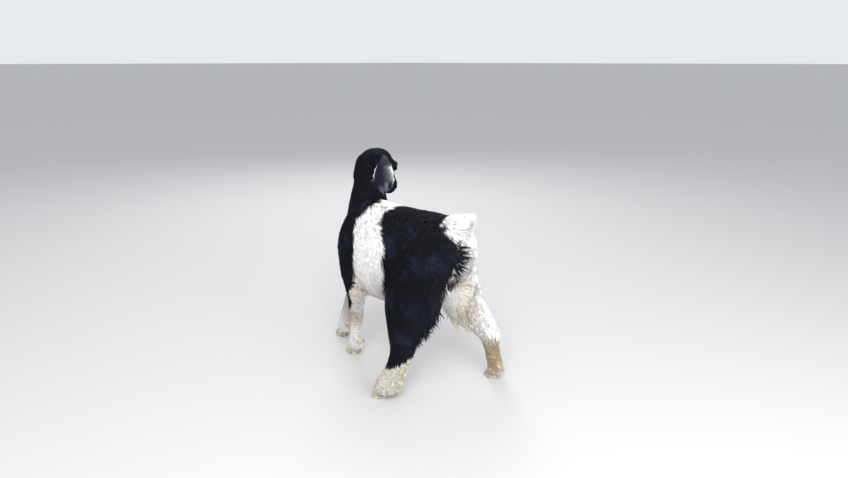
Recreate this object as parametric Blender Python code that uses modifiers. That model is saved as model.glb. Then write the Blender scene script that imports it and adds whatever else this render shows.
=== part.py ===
"""A young goat that stands with its legs spread and its head turned to its right.

It is a still, life-size model. Units are metres. +Z is up, -Y is where the body points and +X
is the goat's left. The origin is the bottom centre of the whole model's box, so that the claws
stand on the plane Z = 0. The solids reach out to the tips of the coat. The flesh is lofted
along the trunk, neck, head and limbs, fused into one body, and then parted by thin cuts.
"""

import math
from dataclasses import dataclass

import bmesh
import bpy
from mathutils import Matrix, Vector

# ---------------------------------------------------------------- driving dimensions

COLLECTION_NAME = "young_goat"

GAP = 0.0003            # clearance between touching pieces
VOXEL = 0.0042          # grain of the fused flesh
SMOOTHING_PASSES = 9
FLESH_TRIANGLES = 3600
LOFT_SIDES = 28
STEPS_PER_SPAN = 5
EAR_SIDES = 12
EYE_SIDES = 10
CLAW_SIDES = 8
SHARP_ANGLE = 50.0      # degrees

BODY_LEFT = -0.012      # where the spine runs, left of the middle of the four feet
WITHERS_TOP = 0.512
RUMP_TOP = 0.500

HEAD_LENGTH = 0.178
HEAD_TURN = -66.0       # degrees about +Z: towards the goat's right
HEAD_PITCH = 36.0       # degrees that the nose points below level
POLL = (0.196, -0.127, 0.632)   # forward, left, height of the top of the skull

EAR_ROOT = (0.034, 0.006, -0.040)      # side, along, rise in the head's frame

EYE_RADIUS = 0.0130
EYE_PLACE = (0.0382, -0.070, -0.021)    # side, along, rise in the head's frame

CLAW_LENGTH = 0.046
CLAW_WIDTH = 0.0190
CLAW_HEIGHT = 0.027
CLAW_SPREAD = 0.0205    # between the middles of one foot's two claws
TOE_SLOPE = 0.014       # how far the toe's wall leans back on its way up
TOE_COVER = 0.016       # how far the hair reaches over the claws, ahead of their middle
CORONET_HEIGHT = 0.036
HEM_HEIGHT = 0.015      # of the hair over the claws
TOE_DIVERGENCE = 4.0    # degrees that each claw turns away from the other
DEWCLAW_RADIUS = 0.0052
DEWCLAW_HEIGHT = 0.047
DEWCLAW_SPREAD = 0.019
DEWCLAW_DEPTH = 0.0025  # of its middle inside the hair of the heel
DEWCLAW_TILT = 35.0     # degrees that a dewclaw's tip leans back

# Where the flesh is parted: forward, left, height, and the plates' normals likewise.
DISC_SIDES = 24
DISC_REACH = 1.3        # a leg's plate, against its ring's half size
DISC_MARGIN = 0.009
HEAD_CUT = (-0.015, -0.068)             # along, rise in the head's frame
HEAD_CUT_NORMAL = (0.517, -0.856)
HEAD_CUT_RADIUS = 0.098
NECK_CUT = (0.145, BODY_LEFT, 0.440)
NECK_CUT_NORMAL = (0.74, 0.0, 0.67)
NECK_CUT_RADIUS = 0.130
TAIL_CUT = (-0.240, BODY_LEFT, 0.487)
TAIL_CUT_NORMAL = (-0.42, 0.0, 0.907)
TAIL_CUT_RADIUS = 0.054
THIGH_LEAN = math.radians(16.0)         # of the sheet between thigh and trunk
THIGH_FRONT = -0.060
THIGH_INSET = 0.071
THIGH_HEIGHT = 0.350
THIGH_LENGTH = 0.285
THIGH_REACH = 0.142


def place(forward, left, height):
    """Return the point that lies so far forward, left and up from the middle of the feet."""
    return Vector((left, -forward, height))


# ---------------------------------------------------------------- the animal's measures

@dataclass
class Ring:
    """One cross-section of a loft: its middle, half sizes and the turn of its side axis."""

    forward: float
    left: float
    height: float
    half_width: float
    half_depth: float
    turn: float = 0.0

    def values(self):
        """Return the ring's numbers in order."""
        return (self.forward, self.left, self.height, self.half_width, self.half_depth, self.turn)

    def middle(self):
        """Return the ring's middle."""
        return place(self.forward, self.left, self.height)


def trunk_ring(forward, top, bottom, half_width):
    """Return an upright section of the trunk from its top and bottom lines."""
    return Ring(forward, BODY_LEFT, (top + bottom) / 2, half_width, (top - bottom) / 2)


TRUNK = [
    trunk_ring(-0.282, 0.436, 0.396, 0.020),
    trunk_ring(-0.273, 0.462, 0.358, 0.048),                 # pin bones
    trunk_ring(-0.250, 0.485, 0.318, 0.076),
    trunk_ring(-0.210, RUMP_TOP, 0.282, 0.095),              # croup
    trunk_ring(-0.150, RUMP_TOP + 0.005, 0.252, 0.105),      # hips
    trunk_ring(-0.060, 0.502, 0.220, 0.113),                 # loin and flank
    trunk_ring(0.015, 0.504, 0.203, 0.115),                  # belly
    trunk_ring(0.080, WITHERS_TOP, 0.205, 0.103),            # withers and girth
    trunk_ring(0.135, 0.498, 0.214, 0.090),                  # shoulders
    trunk_ring(0.176, 0.455, 0.236, 0.074),                  # points of the shoulders
    trunk_ring(0.199, 0.410, 0.272, 0.053),                  # breast
    trunk_ring(0.209, 0.372, 0.308, 0.026),
]

NECK = [
    Ring(0.090, BODY_LEFT, 0.400, 0.066, 0.080, 0),
    Ring(0.131, BODY_LEFT - 0.018, 0.452, 0.064, 0.076, -10),
    Ring(0.163, BODY_LEFT - 0.048, 0.502, 0.055, 0.060, -32),
    Ring(0.183, BODY_LEFT - 0.073, 0.546, 0.047, 0.049, -52),
    Ring(0.195, BODY_LEFT - 0.092, 0.585, 0.041, 0.040, -66),
    Ring(0.196, BODY_LEFT - 0.106, 0.606, 0.033, 0.030, -74),
]

# The head in its own frame: level, the poll at the origin, the nose towards -Y.
# Each row: along the face, top line, bottom line, half width, how much broader it is above.
HEAD = [
    (0.032, -0.030, -0.062, 0.020, 0.00),     # back of the skull
    (0.024, -0.012, -0.080, 0.036, 0.08),
    (0.004, 0.003, -0.092, 0.045, 0.14),      # crown
    (-0.030, 0.018, -0.101, 0.046, 0.12),     # forehead and angle of the jaw
    (-0.062, 0.017, -0.101, 0.044, 0.08),     # brow and cheeks
    (-0.092, 0.005, -0.091, 0.037, 0.00),
    (-0.122, -0.008, -0.084, 0.031, -0.05),   # bridge of the nose
    (-0.148, -0.016, -0.082, 0.0285, -0.02),  # muzzle
    (-0.166, -0.022, -0.081, 0.0275, 0.04),   # lips and nostrils
    (-HEAD_LENGTH, -0.034, -0.072, 0.018, 0.08),
]

# Swellings of the head, in its frame: middle, half sizes.
HEAD_SWELLINGS = [
    ((0.0335, -0.069, -0.020), (0.0135, 0.024, 0.020)),      # orbit
    ((0.026, -0.040, -0.070), (0.020, 0.034, 0.030)),        # cheek
]

# An ear's stalk and leaf: outward, downward, half width, half thickness, depth of the cup.
EAR = [
    (-0.016, -0.004, 0.012, 0.0100, 0.000),
    (0.004, -0.005, 0.014, 0.0095, 0.002),
    (0.020, 0.000, 0.020, 0.0075, 0.007),
    (0.033, 0.012, 0.029, 0.0055, 0.012),
    (0.040, 0.031, 0.037, 0.0044, 0.015),
    (0.045, 0.050, 0.0385, 0.0040, 0.015),
    (0.048, 0.067, 0.031, 0.0040, 0.010),
    (0.050, 0.081, 0.019, 0.0036, 0.005),
    (0.051, 0.090, 0.004, 0.0026, 0.001),
]

TAIL = [
    Ring(-0.205, BODY_LEFT, 0.460, 0.036, 0.036),
    Ring(-0.232, BODY_LEFT, 0.478, 0.040, 0.038),
    Ring(-0.258, BODY_LEFT, 0.494, 0.040, 0.034),
    Ring(-0.274, BODY_LEFT, 0.512, 0.029, 0.023),
    Ring(-0.278, BODY_LEFT, 0.527, 0.012, 0.011),
]


@dataclass
class EarPose:
    """How one ear is held."""

    name: str
    side: int                  # +1 left, -1 right
    sweep: float               # degrees that it reaches back from straight sideways
    turn: float                # degrees that its open side turns back from straight sideways
    reach: float               # share of the full reach away from the skull


EARS = [
    EarPose("left", 1, 10.0, 22.0, 0.45),
    EarPose("right", -1, 63.0, 84.0, 1.48),
]


@dataclass
class Leg:
    """One limb: its rings from the body down to the fetlock, and where its foot stands."""

    name: str
    side: int                  # +1 left, -1 right
    rings: list
    toe_turn: float            # degrees about +Z, 0 is straight ahead
    foot: tuple                # forward, left of the middle of the sole
    foot_width: float
    heel_length: float         # how far the foot's hair hangs back, against its width
    cuts: tuple                # indices of the rings at which the leg is parted
    segments: tuple            # the names of its lengths, from the top
    top_cut_lean: float        # degrees that the highest cut leans in under the chest

    def toe_direction(self):
        """Return the level direction in which the toes point."""
        angle = math.radians(self.toe_turn)
        return Vector((math.sin(angle), -math.cos(angle), 0))

    def side_direction(self):
        """Return the level direction towards the goat's left, square to the toes."""
        angle = math.radians(self.toe_turn)
        return Vector((math.cos(angle), math.sin(angle), 0))

    def all_rings(self):
        """Return the rings down to the hair that hangs over the claws."""
        forward, left = self.foot
        depth = self.foot_width * (0.60 + self.heel_length / 2)
        back = self.toe_direction() * (TOE_COVER - depth)
        coronet = Ring(forward - back.y, left + back.x, CORONET_HEIGHT,
                       self.foot_width * 0.92, depth * 0.90, self.toe_turn)
        hem = Ring(forward - back.y, left + back.x, HEM_HEIGHT,
                   self.foot_width, depth, self.toe_turn)
        return self.rings + [coronet, hem]

    def heel(self, height):
        """Return the point on the back of the pastern at a height."""
        fetlock, coronet = self.all_rings()[-3:-1]
        t = (height - coronet.height) / (fetlock.height - coronet.height)
        middle = coronet.middle().lerp(fetlock.middle(), t)
        depth = coronet.half_depth + (fetlock.half_depth - coronet.half_depth) * t
        return middle - self.toe_direction() * depth


FORELEG_SEGMENTS = ("forearm", "cannon", "foot")
HINDLEG_SEGMENTS = ("thigh", "shank", "cannon", "foot")

LEGS = [
    Leg("foreleg_left", 1, [
        Ring(0.118, 0.014, 0.405, 0.028, 0.040),
        Ring(0.120, 0.034, 0.360, 0.042, 0.058),     # shoulder
        Ring(0.108, 0.052, 0.295, 0.041, 0.054),
        Ring(0.100, 0.056, 0.232, 0.030, 0.036),     # elbow
        Ring(0.112, 0.046, 0.195, 0.026, 0.029),     # forearm
        Ring(0.126, 0.036, 0.148, 0.023, 0.025),     # knee
        Ring(0.132, 0.032, 0.105, 0.019, 0.020),     # cannon
        Ring(0.138, 0.031, 0.062, 0.020, 0.021),     # fetlock
    ], 8.0, (0.152, 0.032), 0.0235, 1.15, (3, 5, 7), FORELEG_SEGMENTS, 38.0),
    Leg("foreleg_right", -1, [
        Ring(0.118, -0.040, 0.405, 0.028, 0.040),
        Ring(0.126, -0.060, 0.360, 0.042, 0.058),
        Ring(0.136, -0.078, 0.298, 0.041, 0.054),
        Ring(0.154, -0.078, 0.240, 0.031, 0.038),
        Ring(0.200, -0.060, 0.195, 0.026, 0.029),
        Ring(0.238, -0.044, 0.150, 0.023, 0.025),
        Ring(0.252, -0.034, 0.105, 0.019, 0.020),
        Ring(0.264, -0.029, 0.062, 0.020, 0.021),
    ], 0.0, (0.280, -0.027), 0.0235, 1.15, (3, 5, 7), FORELEG_SEGMENTS, 38.0),
    Leg("hindleg_left", 1, [
        Ring(-0.165, 0.030, 0.420, 0.050, 0.080),
        Ring(-0.170, 0.062, 0.350, 0.052, 0.098),    # thigh
        Ring(-0.168, 0.082, 0.290, 0.050, 0.096),    # stifle
        Ring(-0.159, 0.094, 0.238, 0.047, 0.083),    # shank
        Ring(-0.153, 0.105, 0.186, 0.037, 0.054),    # hock
        Ring(-0.148, 0.107, 0.130, 0.032, 0.036),    # cannon
        Ring(-0.138, 0.124, 0.075, 0.028, 0.032),    # fetlock
    ], 30.0, (-0.107, 0.158), 0.030, 1.55, (3, 4, 6), HINDLEG_SEGMENTS, 0.0),
    Leg("hindleg_right", -1, [
        Ring(-0.160, -0.054, 0.420, 0.050, 0.074),
        Ring(-0.165, -0.078, 0.350, 0.050, 0.080),
        Ring(-0.170, -0.092, 0.278, 0.047, 0.088),
        Ring(-0.202, -0.104, 0.216, 0.041, 0.070),
        Ring(-0.262, -0.122, 0.158, 0.030, 0.039),
        Ring(-0.272, -0.134, 0.108, 0.022, 0.026),
        Ring(-0.276, -0.144, 0.062, 0.021, 0.024),
    ], -4.0, (-0.266, -0.150), 0.0255, 1.15, (3, 4, 6), HINDLEG_SEGMENTS, 0.0),
]


# ---------------------------------------------------------------- lofts

def smooth_rows(rows, steps):
    """Return the rows with a Catmull-Rom curve's rows between each two of them."""
    rows = [tuple(row) for row in rows]
    out = []
    for i in range(len(rows) - 1):
        before = rows[max(i - 1, 0)]
        start, end = rows[i], rows[i + 1]
        after = rows[min(i + 2, len(rows) - 1)]
        for step in range(steps):
            t = step / steps
            row = []
            for a, b, c, d in zip(before, start, end, after):
                row.append(0.5 * (2 * b + (c - a) * t + (2 * a - 5 * b + 4 * c - d) * t * t
                                  + (3 * b - a - 3 * c + d) * t ** 3))
            out.append(tuple(row))
    out.append(rows[-1])
    return out


def loft(bm, loops):
    """Add a closed tube through loops of points, with a flat face at each end."""
    rows = []
    for loop in loops:
        rows.append([bm.verts.new(point) for point in loop])
    sides = len(rows[0])
    for lower, upper in zip(rows, rows[1:]):
        for k in range(sides):
            n = (k + 1) % sides
            bm.faces.new((lower[k], lower[n], upper[n], upper[k]))
    bm.faces.new(list(reversed(rows[0])))
    bm.faces.new(rows[-1])


def oval(middle, side, depth, spread=0.0):
    """Return an oval's points; spread makes it broader on the depth axis's far side."""
    points = []
    for k in range(LOFT_SIDES):
        angle = 2 * math.pi * k / LOFT_SIDES
        widen = 1 + spread * math.sin(angle)
        points.append(middle + side * (math.cos(angle) * widen) + depth * math.sin(angle))
    return points


def loft_rings(bm, rings):
    """Loft body rings, each square to the path and turned by its own turn."""
    rows = smooth_rows([ring.values() for ring in rings], STEPS_PER_SPAN)
    middles = [place(*row[:3]) for row in rows]
    loops = []
    for i, row in enumerate(rows):
        ahead = (middles[min(i + 1, len(rows) - 1)] - middles[max(i - 1, 0)]).normalized()
        side = Matrix.Rotation(math.radians(row[5]), 3, "Z") @ Vector((1, 0, 0))
        side = (side - ahead * side.dot(ahead)).normalized()
        depth = ahead.cross(side)
        loops.append(oval(middles[i], side * row[3], depth * row[4]))
    loft(bm, loops)


def loft_trunk(bm):
    """Loft the trunk, whose sections all stand upright."""
    loops = []
    for row in smooth_rows([ring.values() for ring in TRUNK], STEPS_PER_SPAN):
        loops.append(oval(place(*row[:3]), Vector((row[3], 0, 0)), Vector((0, 0, row[4]))))
    loft(bm, loops)


def head_matrix():
    """Return the matrix from the head's own frame to its place on the neck."""
    turn = Matrix.Rotation(math.radians(HEAD_TURN), 4, "Z")
    pitch = Matrix.Rotation(math.radians(HEAD_PITCH), 4, "X")
    return Matrix.Translation(place(*POLL)) @ turn @ pitch


def loft_head(bm):
    """Loft the skull, face and jaw, with its sections square to the face."""
    matrix = head_matrix()
    loops = []
    for along, top, bottom, half_width, spread in smooth_rows(HEAD, STEPS_PER_SPAN):
        middle = Vector((0, along, (top + bottom) / 2))
        loop = oval(middle, Vector((half_width, 0, 0)), Vector((0, 0, (top - bottom) / 2)), spread)
        loops.append([matrix @ point for point in loop])
    loft(bm, loops)
    for (side, along, rise), radii in HEAD_SWELLINGS:
        for sign in (1, -1):
            add_ball(bm, matrix @ Matrix.Translation((sign * side, along, rise)), radii)


def add_ball(bm, matrix, radii):
    """Add an ellipsoid to a bmesh."""
    stretch = Matrix.Diagonal((*radii, 1))
    bmesh.ops.create_uvsphere(bm, u_segments=20, v_segments=12, radius=1.0,
                              matrix=matrix @ stretch)


# ---------------------------------------------------------------- objects

def new_object(name, bm, collection):
    """Turn a bmesh into an object of outward triangles in a collection."""
    bmesh.ops.triangulate(bm, faces=bm.faces)
    bmesh.ops.recalc_face_normals(bm, faces=bm.faces)
    mesh = bpy.data.meshes.new(name)
    bm.to_mesh(mesh)
    bm.free()
    obj = bpy.data.objects.new(name, mesh)
    collection.objects.link(obj)
    return obj


def apply_modifiers(obj):
    """Replace an object's mesh by what its modifiers make of it."""
    graph = bpy.context.evaluated_depsgraph_get()
    mesh = bpy.data.meshes.new_from_object(obj.evaluated_get(graph))
    obj.modifiers.clear()
    obj.data = mesh


def thin_to(obj, triangles):
    """Collapse an object's mesh to about so many triangles."""
    present = sum(len(face.vertices) - 2 for face in obj.data.polygons)
    thin = obj.modifiers.new("thin", "DECIMATE")
    thin.ratio = min(1.0, triangles / present)
    apply_modifiers(obj)


def cut(target, tool):
    """Take a tool's space out of an object."""
    boolean = target.modifiers.new("cut", "BOOLEAN")
    boolean.operation = "DIFFERENCE"
    boolean.solver = "EXACT"
    boolean.object = tool
    apply_modifiers(target)
    drop_flaps(target.data)


def drop_flaps(mesh):
    """Take away the flaps without thickness: pairs of faces that share all their corners."""
    bm = bmesh.new()
    bm.from_mesh(mesh)
    faces_at = {}
    for face in bm.faces:
        faces_at.setdefault(frozenset(face.verts), []).append(face)
    flaps = [face for pair in faces_at.values() if len(pair) == 2 for face in pair]
    if flaps:
        bmesh.ops.delete(bm, geom=flaps, context="FACES")
        bm.to_mesh(mesh)
    bm.free()


def clear_for(target, others):
    """Cut from an object the space of its neighbours, each grown by the gap."""
    for other in others:
        tool = bpy.data.objects.new("tool", other.data.copy())
        target.users_collection[0].objects.link(tool)
        grow = tool.modifiers.new("grow", "DISPLACE")
        grow.strength = GAP
        grow.mid_level = 0.0
        cut(target, tool)
        bpy.data.objects.remove(tool, do_unlink=True)


def part_with_disc(target, middle, normal, radius):
    """Part an object with a thin round plate, square to the normal."""
    bm = bmesh.new()
    turn = normal.to_track_quat("Z", "X").to_matrix().to_4x4()
    bmesh.ops.create_cone(bm, cap_ends=True, segments=DISC_SIDES, radius1=radius, radius2=radius,
                          depth=GAP, matrix=Matrix.Translation(middle) @ turn)
    plate = new_object("plate", bm, target.users_collection[0])
    cut(target, plate)
    bpy.data.objects.remove(plate, do_unlink=True)


def part_with_sheet(target, middle, reach, rise):
    """Part an object with a thin oblong plate, given by its two half-length vectors."""
    bm = bmesh.new()
    thin = reach.cross(rise).normalized() * GAP / 2
    matrix = Matrix((reach, rise, thin)).transposed().to_4x4()
    bmesh.ops.create_cube(bm, size=2.0, matrix=Matrix.Translation(middle) @ matrix)
    plate = new_object("plate", bm, target.users_collection[0])
    cut(target, plate)
    bpy.data.objects.remove(plate, do_unlink=True)


# ---------------------------------------------------------------- the pieces

def fuse_flesh(collection):
    """Loft the whole animal, fuse it and thin it to a few thousand triangles."""
    bm = bmesh.new()
    loft_trunk(bm)
    loft_rings(bm, NECK)
    loft_rings(bm, TAIL)
    loft_head(bm)
    for leg in LEGS:
        loft_rings(bm, leg.all_rings())
    flesh = new_object("flesh", bm, collection)
    remesh = flesh.modifiers.new("fuse", "REMESH")
    remesh.mode = "VOXEL"
    remesh.voxel_size = VOXEL
    smooth = flesh.modifiers.new("soften", "SMOOTH")
    smooth.factor = 0.5
    smooth.iterations = SMOOTHING_PASSES
    apply_modifiers(flesh)
    thin_to(flesh, FLESH_TRIANGLES)
    return flesh


def swept_back(side, degrees):
    """Return the level direction out of the skull's side, turned back by so many degrees."""
    angle = math.radians(degrees)
    heading = Matrix.Rotation(math.radians(HEAD_TURN), 3, "Z")
    return heading @ Vector((side * math.cos(angle), math.sin(angle), 0))


def ear(pose, collection):
    """Make one hanging ear: a cupped leaf on a stalk that starts inside the skull."""
    side, along, rise = EAR_ROOT
    root = head_matrix() @ Vector((pose.side * side, along, rise))
    outward = swept_back(pose.side, pose.sweep) * pose.reach
    facing = swept_back(pose.side, pose.turn)
    middles = [root + outward * row[0] - Vector((0, 0, row[1])) for row in EAR]
    loops = []
    for i, (_, _, half_width, half_thickness, cup) in enumerate(EAR):
        ahead = (middles[min(i + 1, len(EAR) - 1)] - middles[max(i - 1, 0)]).normalized()
        open_way = (facing - ahead * facing.dot(ahead)).normalized()
        across = ahead.cross(open_way)
        loop = []
        for k in range(EAR_SIDES):
            angle = 2 * math.pi * k / EAR_SIDES
            bow = cup * math.cos(angle) ** 2
            loop.append(middles[i] + across * (half_width * math.cos(angle))
                        + open_way * (half_thickness * math.sin(angle) + bow))
        loops.append(loop)
    bm = bmesh.new()
    loft(bm, loops)
    return new_object("ear_" + pose.name, bm, collection)


def eye(side_name, sign, collection):
    """Make one eyeball, sunk in the orbit."""
    side, along, rise = EYE_PLACE
    bm = bmesh.new()
    bmesh.ops.create_uvsphere(bm, u_segments=EYE_SIDES, v_segments=EYE_SIDES // 2 + 1,
                              radius=EYE_RADIUS,
                              matrix=head_matrix() @ Matrix.Translation((sign * side, along, rise)))
    return new_object("eye_" + side_name, bm, collection)


def claw_loop(scale, height, back, heel_drop):
    """Return one level of a claw in its own frame, the toe towards -Y and pointed."""
    loop = []
    for k in range(CLAW_SIDES):
        angle = 2 * math.pi * k / CLAW_SIDES
        toe = max(0.0, math.sin(angle))
        x = CLAW_WIDTH / 2 * math.cos(angle) * (1 - 0.35 * toe ** 2)
        y = -CLAW_LENGTH / 2 * math.sin(angle)
        drop = heel_drop * (0.5 + y / CLAW_LENGTH)
        loop.append(Vector((x * scale, y * scale + back, height - drop)))
    return loop


def claws(leg, collection):
    """Make a foot's two claws, flat on the floor, and the two dewclaws behind its pastern."""
    levels = [
        claw_loop(1.00, 0.0, 0.0, 0.0),
        claw_loop(0.95, CLAW_HEIGHT * 0.50, TOE_SLOPE * 0.38, CLAW_HEIGHT * 0.12),
        claw_loop(0.74, CLAW_HEIGHT, TOE_SLOPE * 0.75, CLAW_HEIGHT * 0.35),
    ]
    forward, left = leg.foot
    foot = place(forward, left, 0.0)
    pieces = []
    for position, sign in (("outer", leg.side), ("inner", -leg.side)):
        bm = bmesh.new()
        loft(bm, levels)
        middle = foot + leg.side_direction() * (sign * CLAW_SPREAD / 2)
        turn = Matrix.Rotation(math.radians(leg.toe_turn + sign * TOE_DIVERGENCE), 4, "Z")
        bm.transform(Matrix.Translation(middle) @ turn)
        pieces.append(new_object(leg.name + "_claw_" + position, bm, collection))
    for position, sign in (("outer", leg.side), ("inner", -leg.side)):
        bm = bmesh.new()
        middle = leg.heel(DEWCLAW_HEIGHT) + leg.toe_direction() * DEWCLAW_DEPTH
        middle += leg.side_direction() * (sign * DEWCLAW_SPREAD / 2)
        tilt = Matrix.Rotation(math.radians(leg.toe_turn), 4, "Z")
        tilt = tilt @ Matrix.Rotation(math.radians(DEWCLAW_TILT), 4, "X")
        stretch = Matrix.Diagonal((1.0, 1.0, 1.6, 1))
        bmesh.ops.create_uvsphere(bm, u_segments=6, v_segments=4, radius=DEWCLAW_RADIUS,
                                  matrix=Matrix.Translation(middle) @ tilt @ stretch)
        pieces.append(new_object(leg.name + "_dewclaw_" + position, bm, collection))
    return pieces


# ---------------------------------------------------------------- parting the flesh

def part_legs(flesh):
    """Part each leg at its joints, and return a point in each of its lengths."""
    seeds = {}
    for leg in LEGS:
        rings = leg.all_rings()
        middles = [ring.middle() for ring in rings]
        for k in leg.cuts:
            along = (middles[k + 1] - middles[k - 1]).normalized()
            if k == leg.cuts[0]:
                lean = Matrix.Rotation(math.radians(-leg.side * leg.top_cut_lean), 3, "Y")
                along = lean @ along
            radius = max(rings[k].half_width, rings[k].half_depth) * DISC_REACH + DISC_MARGIN
            part_with_disc(flesh, middles[k], along, radius)
        stops = list(leg.cuts) + [len(rings) - 1]
        for segment, start, stop in zip(leg.segments[-3:], stops, stops[1:]):
            seeds[leg.name + "_" + segment] = (middles[start] + middles[stop]) / 2
        if "thigh" in leg.segments:
            part_thigh(flesh, leg)
            seeds[leg.name + "_thigh"] = (middles[1] + middles[3]) / 2
    return seeds


def part_thigh(flesh, leg):
    """Part a thigh from the trunk: a sheet from the groin to the croup, and one at the flank."""
    rise = Vector((leg.side * math.sin(THIGH_LEAN), 0, math.cos(THIGH_LEAN)))
    outward = Vector((leg.side * math.cos(THIGH_LEAN), 0, -math.sin(THIGH_LEAN)))
    flank = place(THIGH_FRONT, BODY_LEFT + leg.side * THIGH_INSET, THIGH_HEIGHT)
    backward = Vector((0, THIGH_LENGTH / 2, 0))
    part_with_sheet(flesh, flank + backward, backward * 1.002, rise * THIGH_REACH)
    part_with_sheet(flesh, flank + outward * THIGH_REACH * 0.496, outward * THIGH_REACH / 2,
                    rise * THIGH_REACH)


def part_flesh(flesh, collection):
    """Part the flesh into its named nodes."""
    matrix = head_matrix()
    seeds = part_legs(flesh)
    nape = matrix @ Vector((0, *HEAD_CUT))
    nape_normal = matrix.to_3x3() @ Vector((0, *HEAD_CUT_NORMAL)).normalized()
    part_with_disc(flesh, nape, nape_normal, HEAD_CUT_RADIUS)
    part_with_disc(flesh, place(*NECK_CUT), place(*NECK_CUT_NORMAL).normalized(), NECK_CUT_RADIUS)
    part_with_disc(flesh, place(*TAIL_CUT), place(*TAIL_CUT_NORMAL).normalized(), TAIL_CUT_RADIUS)
    seeds["head"] = matrix @ Vector((0, -HEAD_LENGTH * 0.45, -0.045))
    seeds["neck"] = NECK[2].middle()
    seeds["trunk"] = TRUNK[5].middle()
    seeds["tail"] = TAIL[3].middle()
    name_pieces(loose_pieces(flesh, collection), seeds)


def loose_pieces(flesh, collection):
    """Split an object into one object for each of its loose bodies."""
    bm = bmesh.new()
    bm.from_mesh(flesh.data)
    bpy.data.objects.remove(flesh, do_unlink=True)
    unseen = set(bm.verts)
    groups = []
    while unseen:
        group = set()
        edge_of_search = [unseen.pop()]
        while edge_of_search:
            vertex = edge_of_search.pop()
            group.add(vertex)
            for edge in vertex.link_edges:
                other = edge.other_vert(vertex)
                if other in unseen:
                    unseen.discard(other)
                    edge_of_search.append(other)
        groups.append(group)
    pieces = []
    for group in groups:
        piece = bmesh.new()
        copies = {}
        for vertex in bm.verts:
            if vertex in group:
                copies[vertex] = piece.verts.new(vertex.co)
        for face in bm.faces:
            if face.verts[0] in group:
                piece.faces.new([copies[vertex] for vertex in face.verts])
        pieces.append(new_object("piece", piece, collection))
    bm.free()
    return pieces


def name_pieces(pieces, seeds):
    """Name each piece after the seed that lies nearest to its middle."""
    free = dict(seeds)
    for obj in sorted(pieces, key=lambda piece: -len(piece.data.vertices)):
        total = Vector((0, 0, 0))
        for vertex in obj.data.vertices:
            total += vertex.co
        middle = total / len(obj.data.vertices)
        nearest = min(free, key=lambda name: (free[name] - middle).length)
        del free[nearest]
        obj.name = nearest
        obj.data.name = nearest
    if free:
        raise ValueError("the flesh wasn't parted into " + ", ".join(sorted(free)))


# ---------------------------------------------------------------- finish

FINISHES = {
    "black_coat": ((0.012, 0.012, 0.018), 0.62),
    "white_coat": ((0.83, 0.79, 0.74), 0.75),
    "horn": ((0.30, 0.24, 0.17), 0.50),
    "eye": ((0.10, 0.06, 0.02), 0.12),
}


def finish_of(name):
    """Return the finish's name that suits a node."""
    if "claw" in name:
        return "horn"
    if name.startswith("eye"):
        return "eye"
    if name in ("head", "neck", "trunk", "ear_left", "ear_right"):
        return "black_coat"
    if name in ("hindleg_left_thigh", "hindleg_left_shank"):
        return "black_coat"
    return "white_coat"


def dress(obj):
    """Give an object its own Principled material and its shading."""
    color, roughness = FINISHES[finish_of(obj.name)]
    material = bpy.data.materials.new(obj.name)
    material.use_nodes = True
    shader = material.node_tree.nodes["Principled BSDF"]
    shader.inputs["Base Color"].default_value = (*color, 1.0)
    shader.inputs["Roughness"].default_value = roughness
    obj.data.materials.clear()
    obj.data.materials.append(material)
    obj.data.shade_smooth()
    obj.data.set_sharp_from_angle(angle=math.radians(SHARP_ANGLE))


def centre_on_floor(objects):
    """Move all so that the model's box stands with its bottom centre at the origin."""
    points = [vertex.co for obj in objects for vertex in obj.data.vertices]
    low = Vector([min(point[axis] for point in points) for axis in range(3)])
    high = Vector([max(point[axis] for point in points) for axis in range(3)])
    shift = Vector((-(low.x + high.x) / 2, -(low.y + high.y) / 2, -low.z))
    for obj in objects:
        obj.data.transform(Matrix.Translation(shift))
    return shift


def main():
    """Build the goat, and return how far it was moved to stand on its origin."""
    for obj in list(bpy.data.objects):
        bpy.data.objects.remove(obj, do_unlink=True)
    goat = bpy.data.collections.new(COLLECTION_NAME)
    bpy.context.scene.collection.children.link(goat)
    flesh = fuse_flesh(goat)
    ears = [ear(pose, goat) for pose in EARS]
    eyes = [eye(name, side, goat) for name, side in (("left", 1), ("right", -1))]
    horn = [piece for leg in LEGS for piece in claws(leg, goat)]
    for obj in ears:
        clear_for(obj, [flesh])
    clear_for(flesh, eyes + horn)
    part_flesh(flesh, goat)
    for obj in goat.objects:
        dress(obj)
    return centre_on_floor(list(goat.objects))


if __name__ == "__main__":
    main()
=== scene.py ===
"""The looks of a young goat, a still, life-size museum model.

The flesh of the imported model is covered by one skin, which lies inside it by the depth of the
coat. The coat is thousands of thin, tapered tufts that grow from the skin, follow the lie of
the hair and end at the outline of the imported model, and longer locks where it stands out. Eyes
and claws stay pieces of their own.
"""

import logging
import math
from dataclasses import dataclass, field
from enum import Enum
from typing import Iterable, Sequence

import bmesh
import bpy
import numpy as np
from mathutils import Matrix, Vector
from mathutils.bvhtree import BVHTree
from mathutils.kdtree import KDTree


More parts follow.
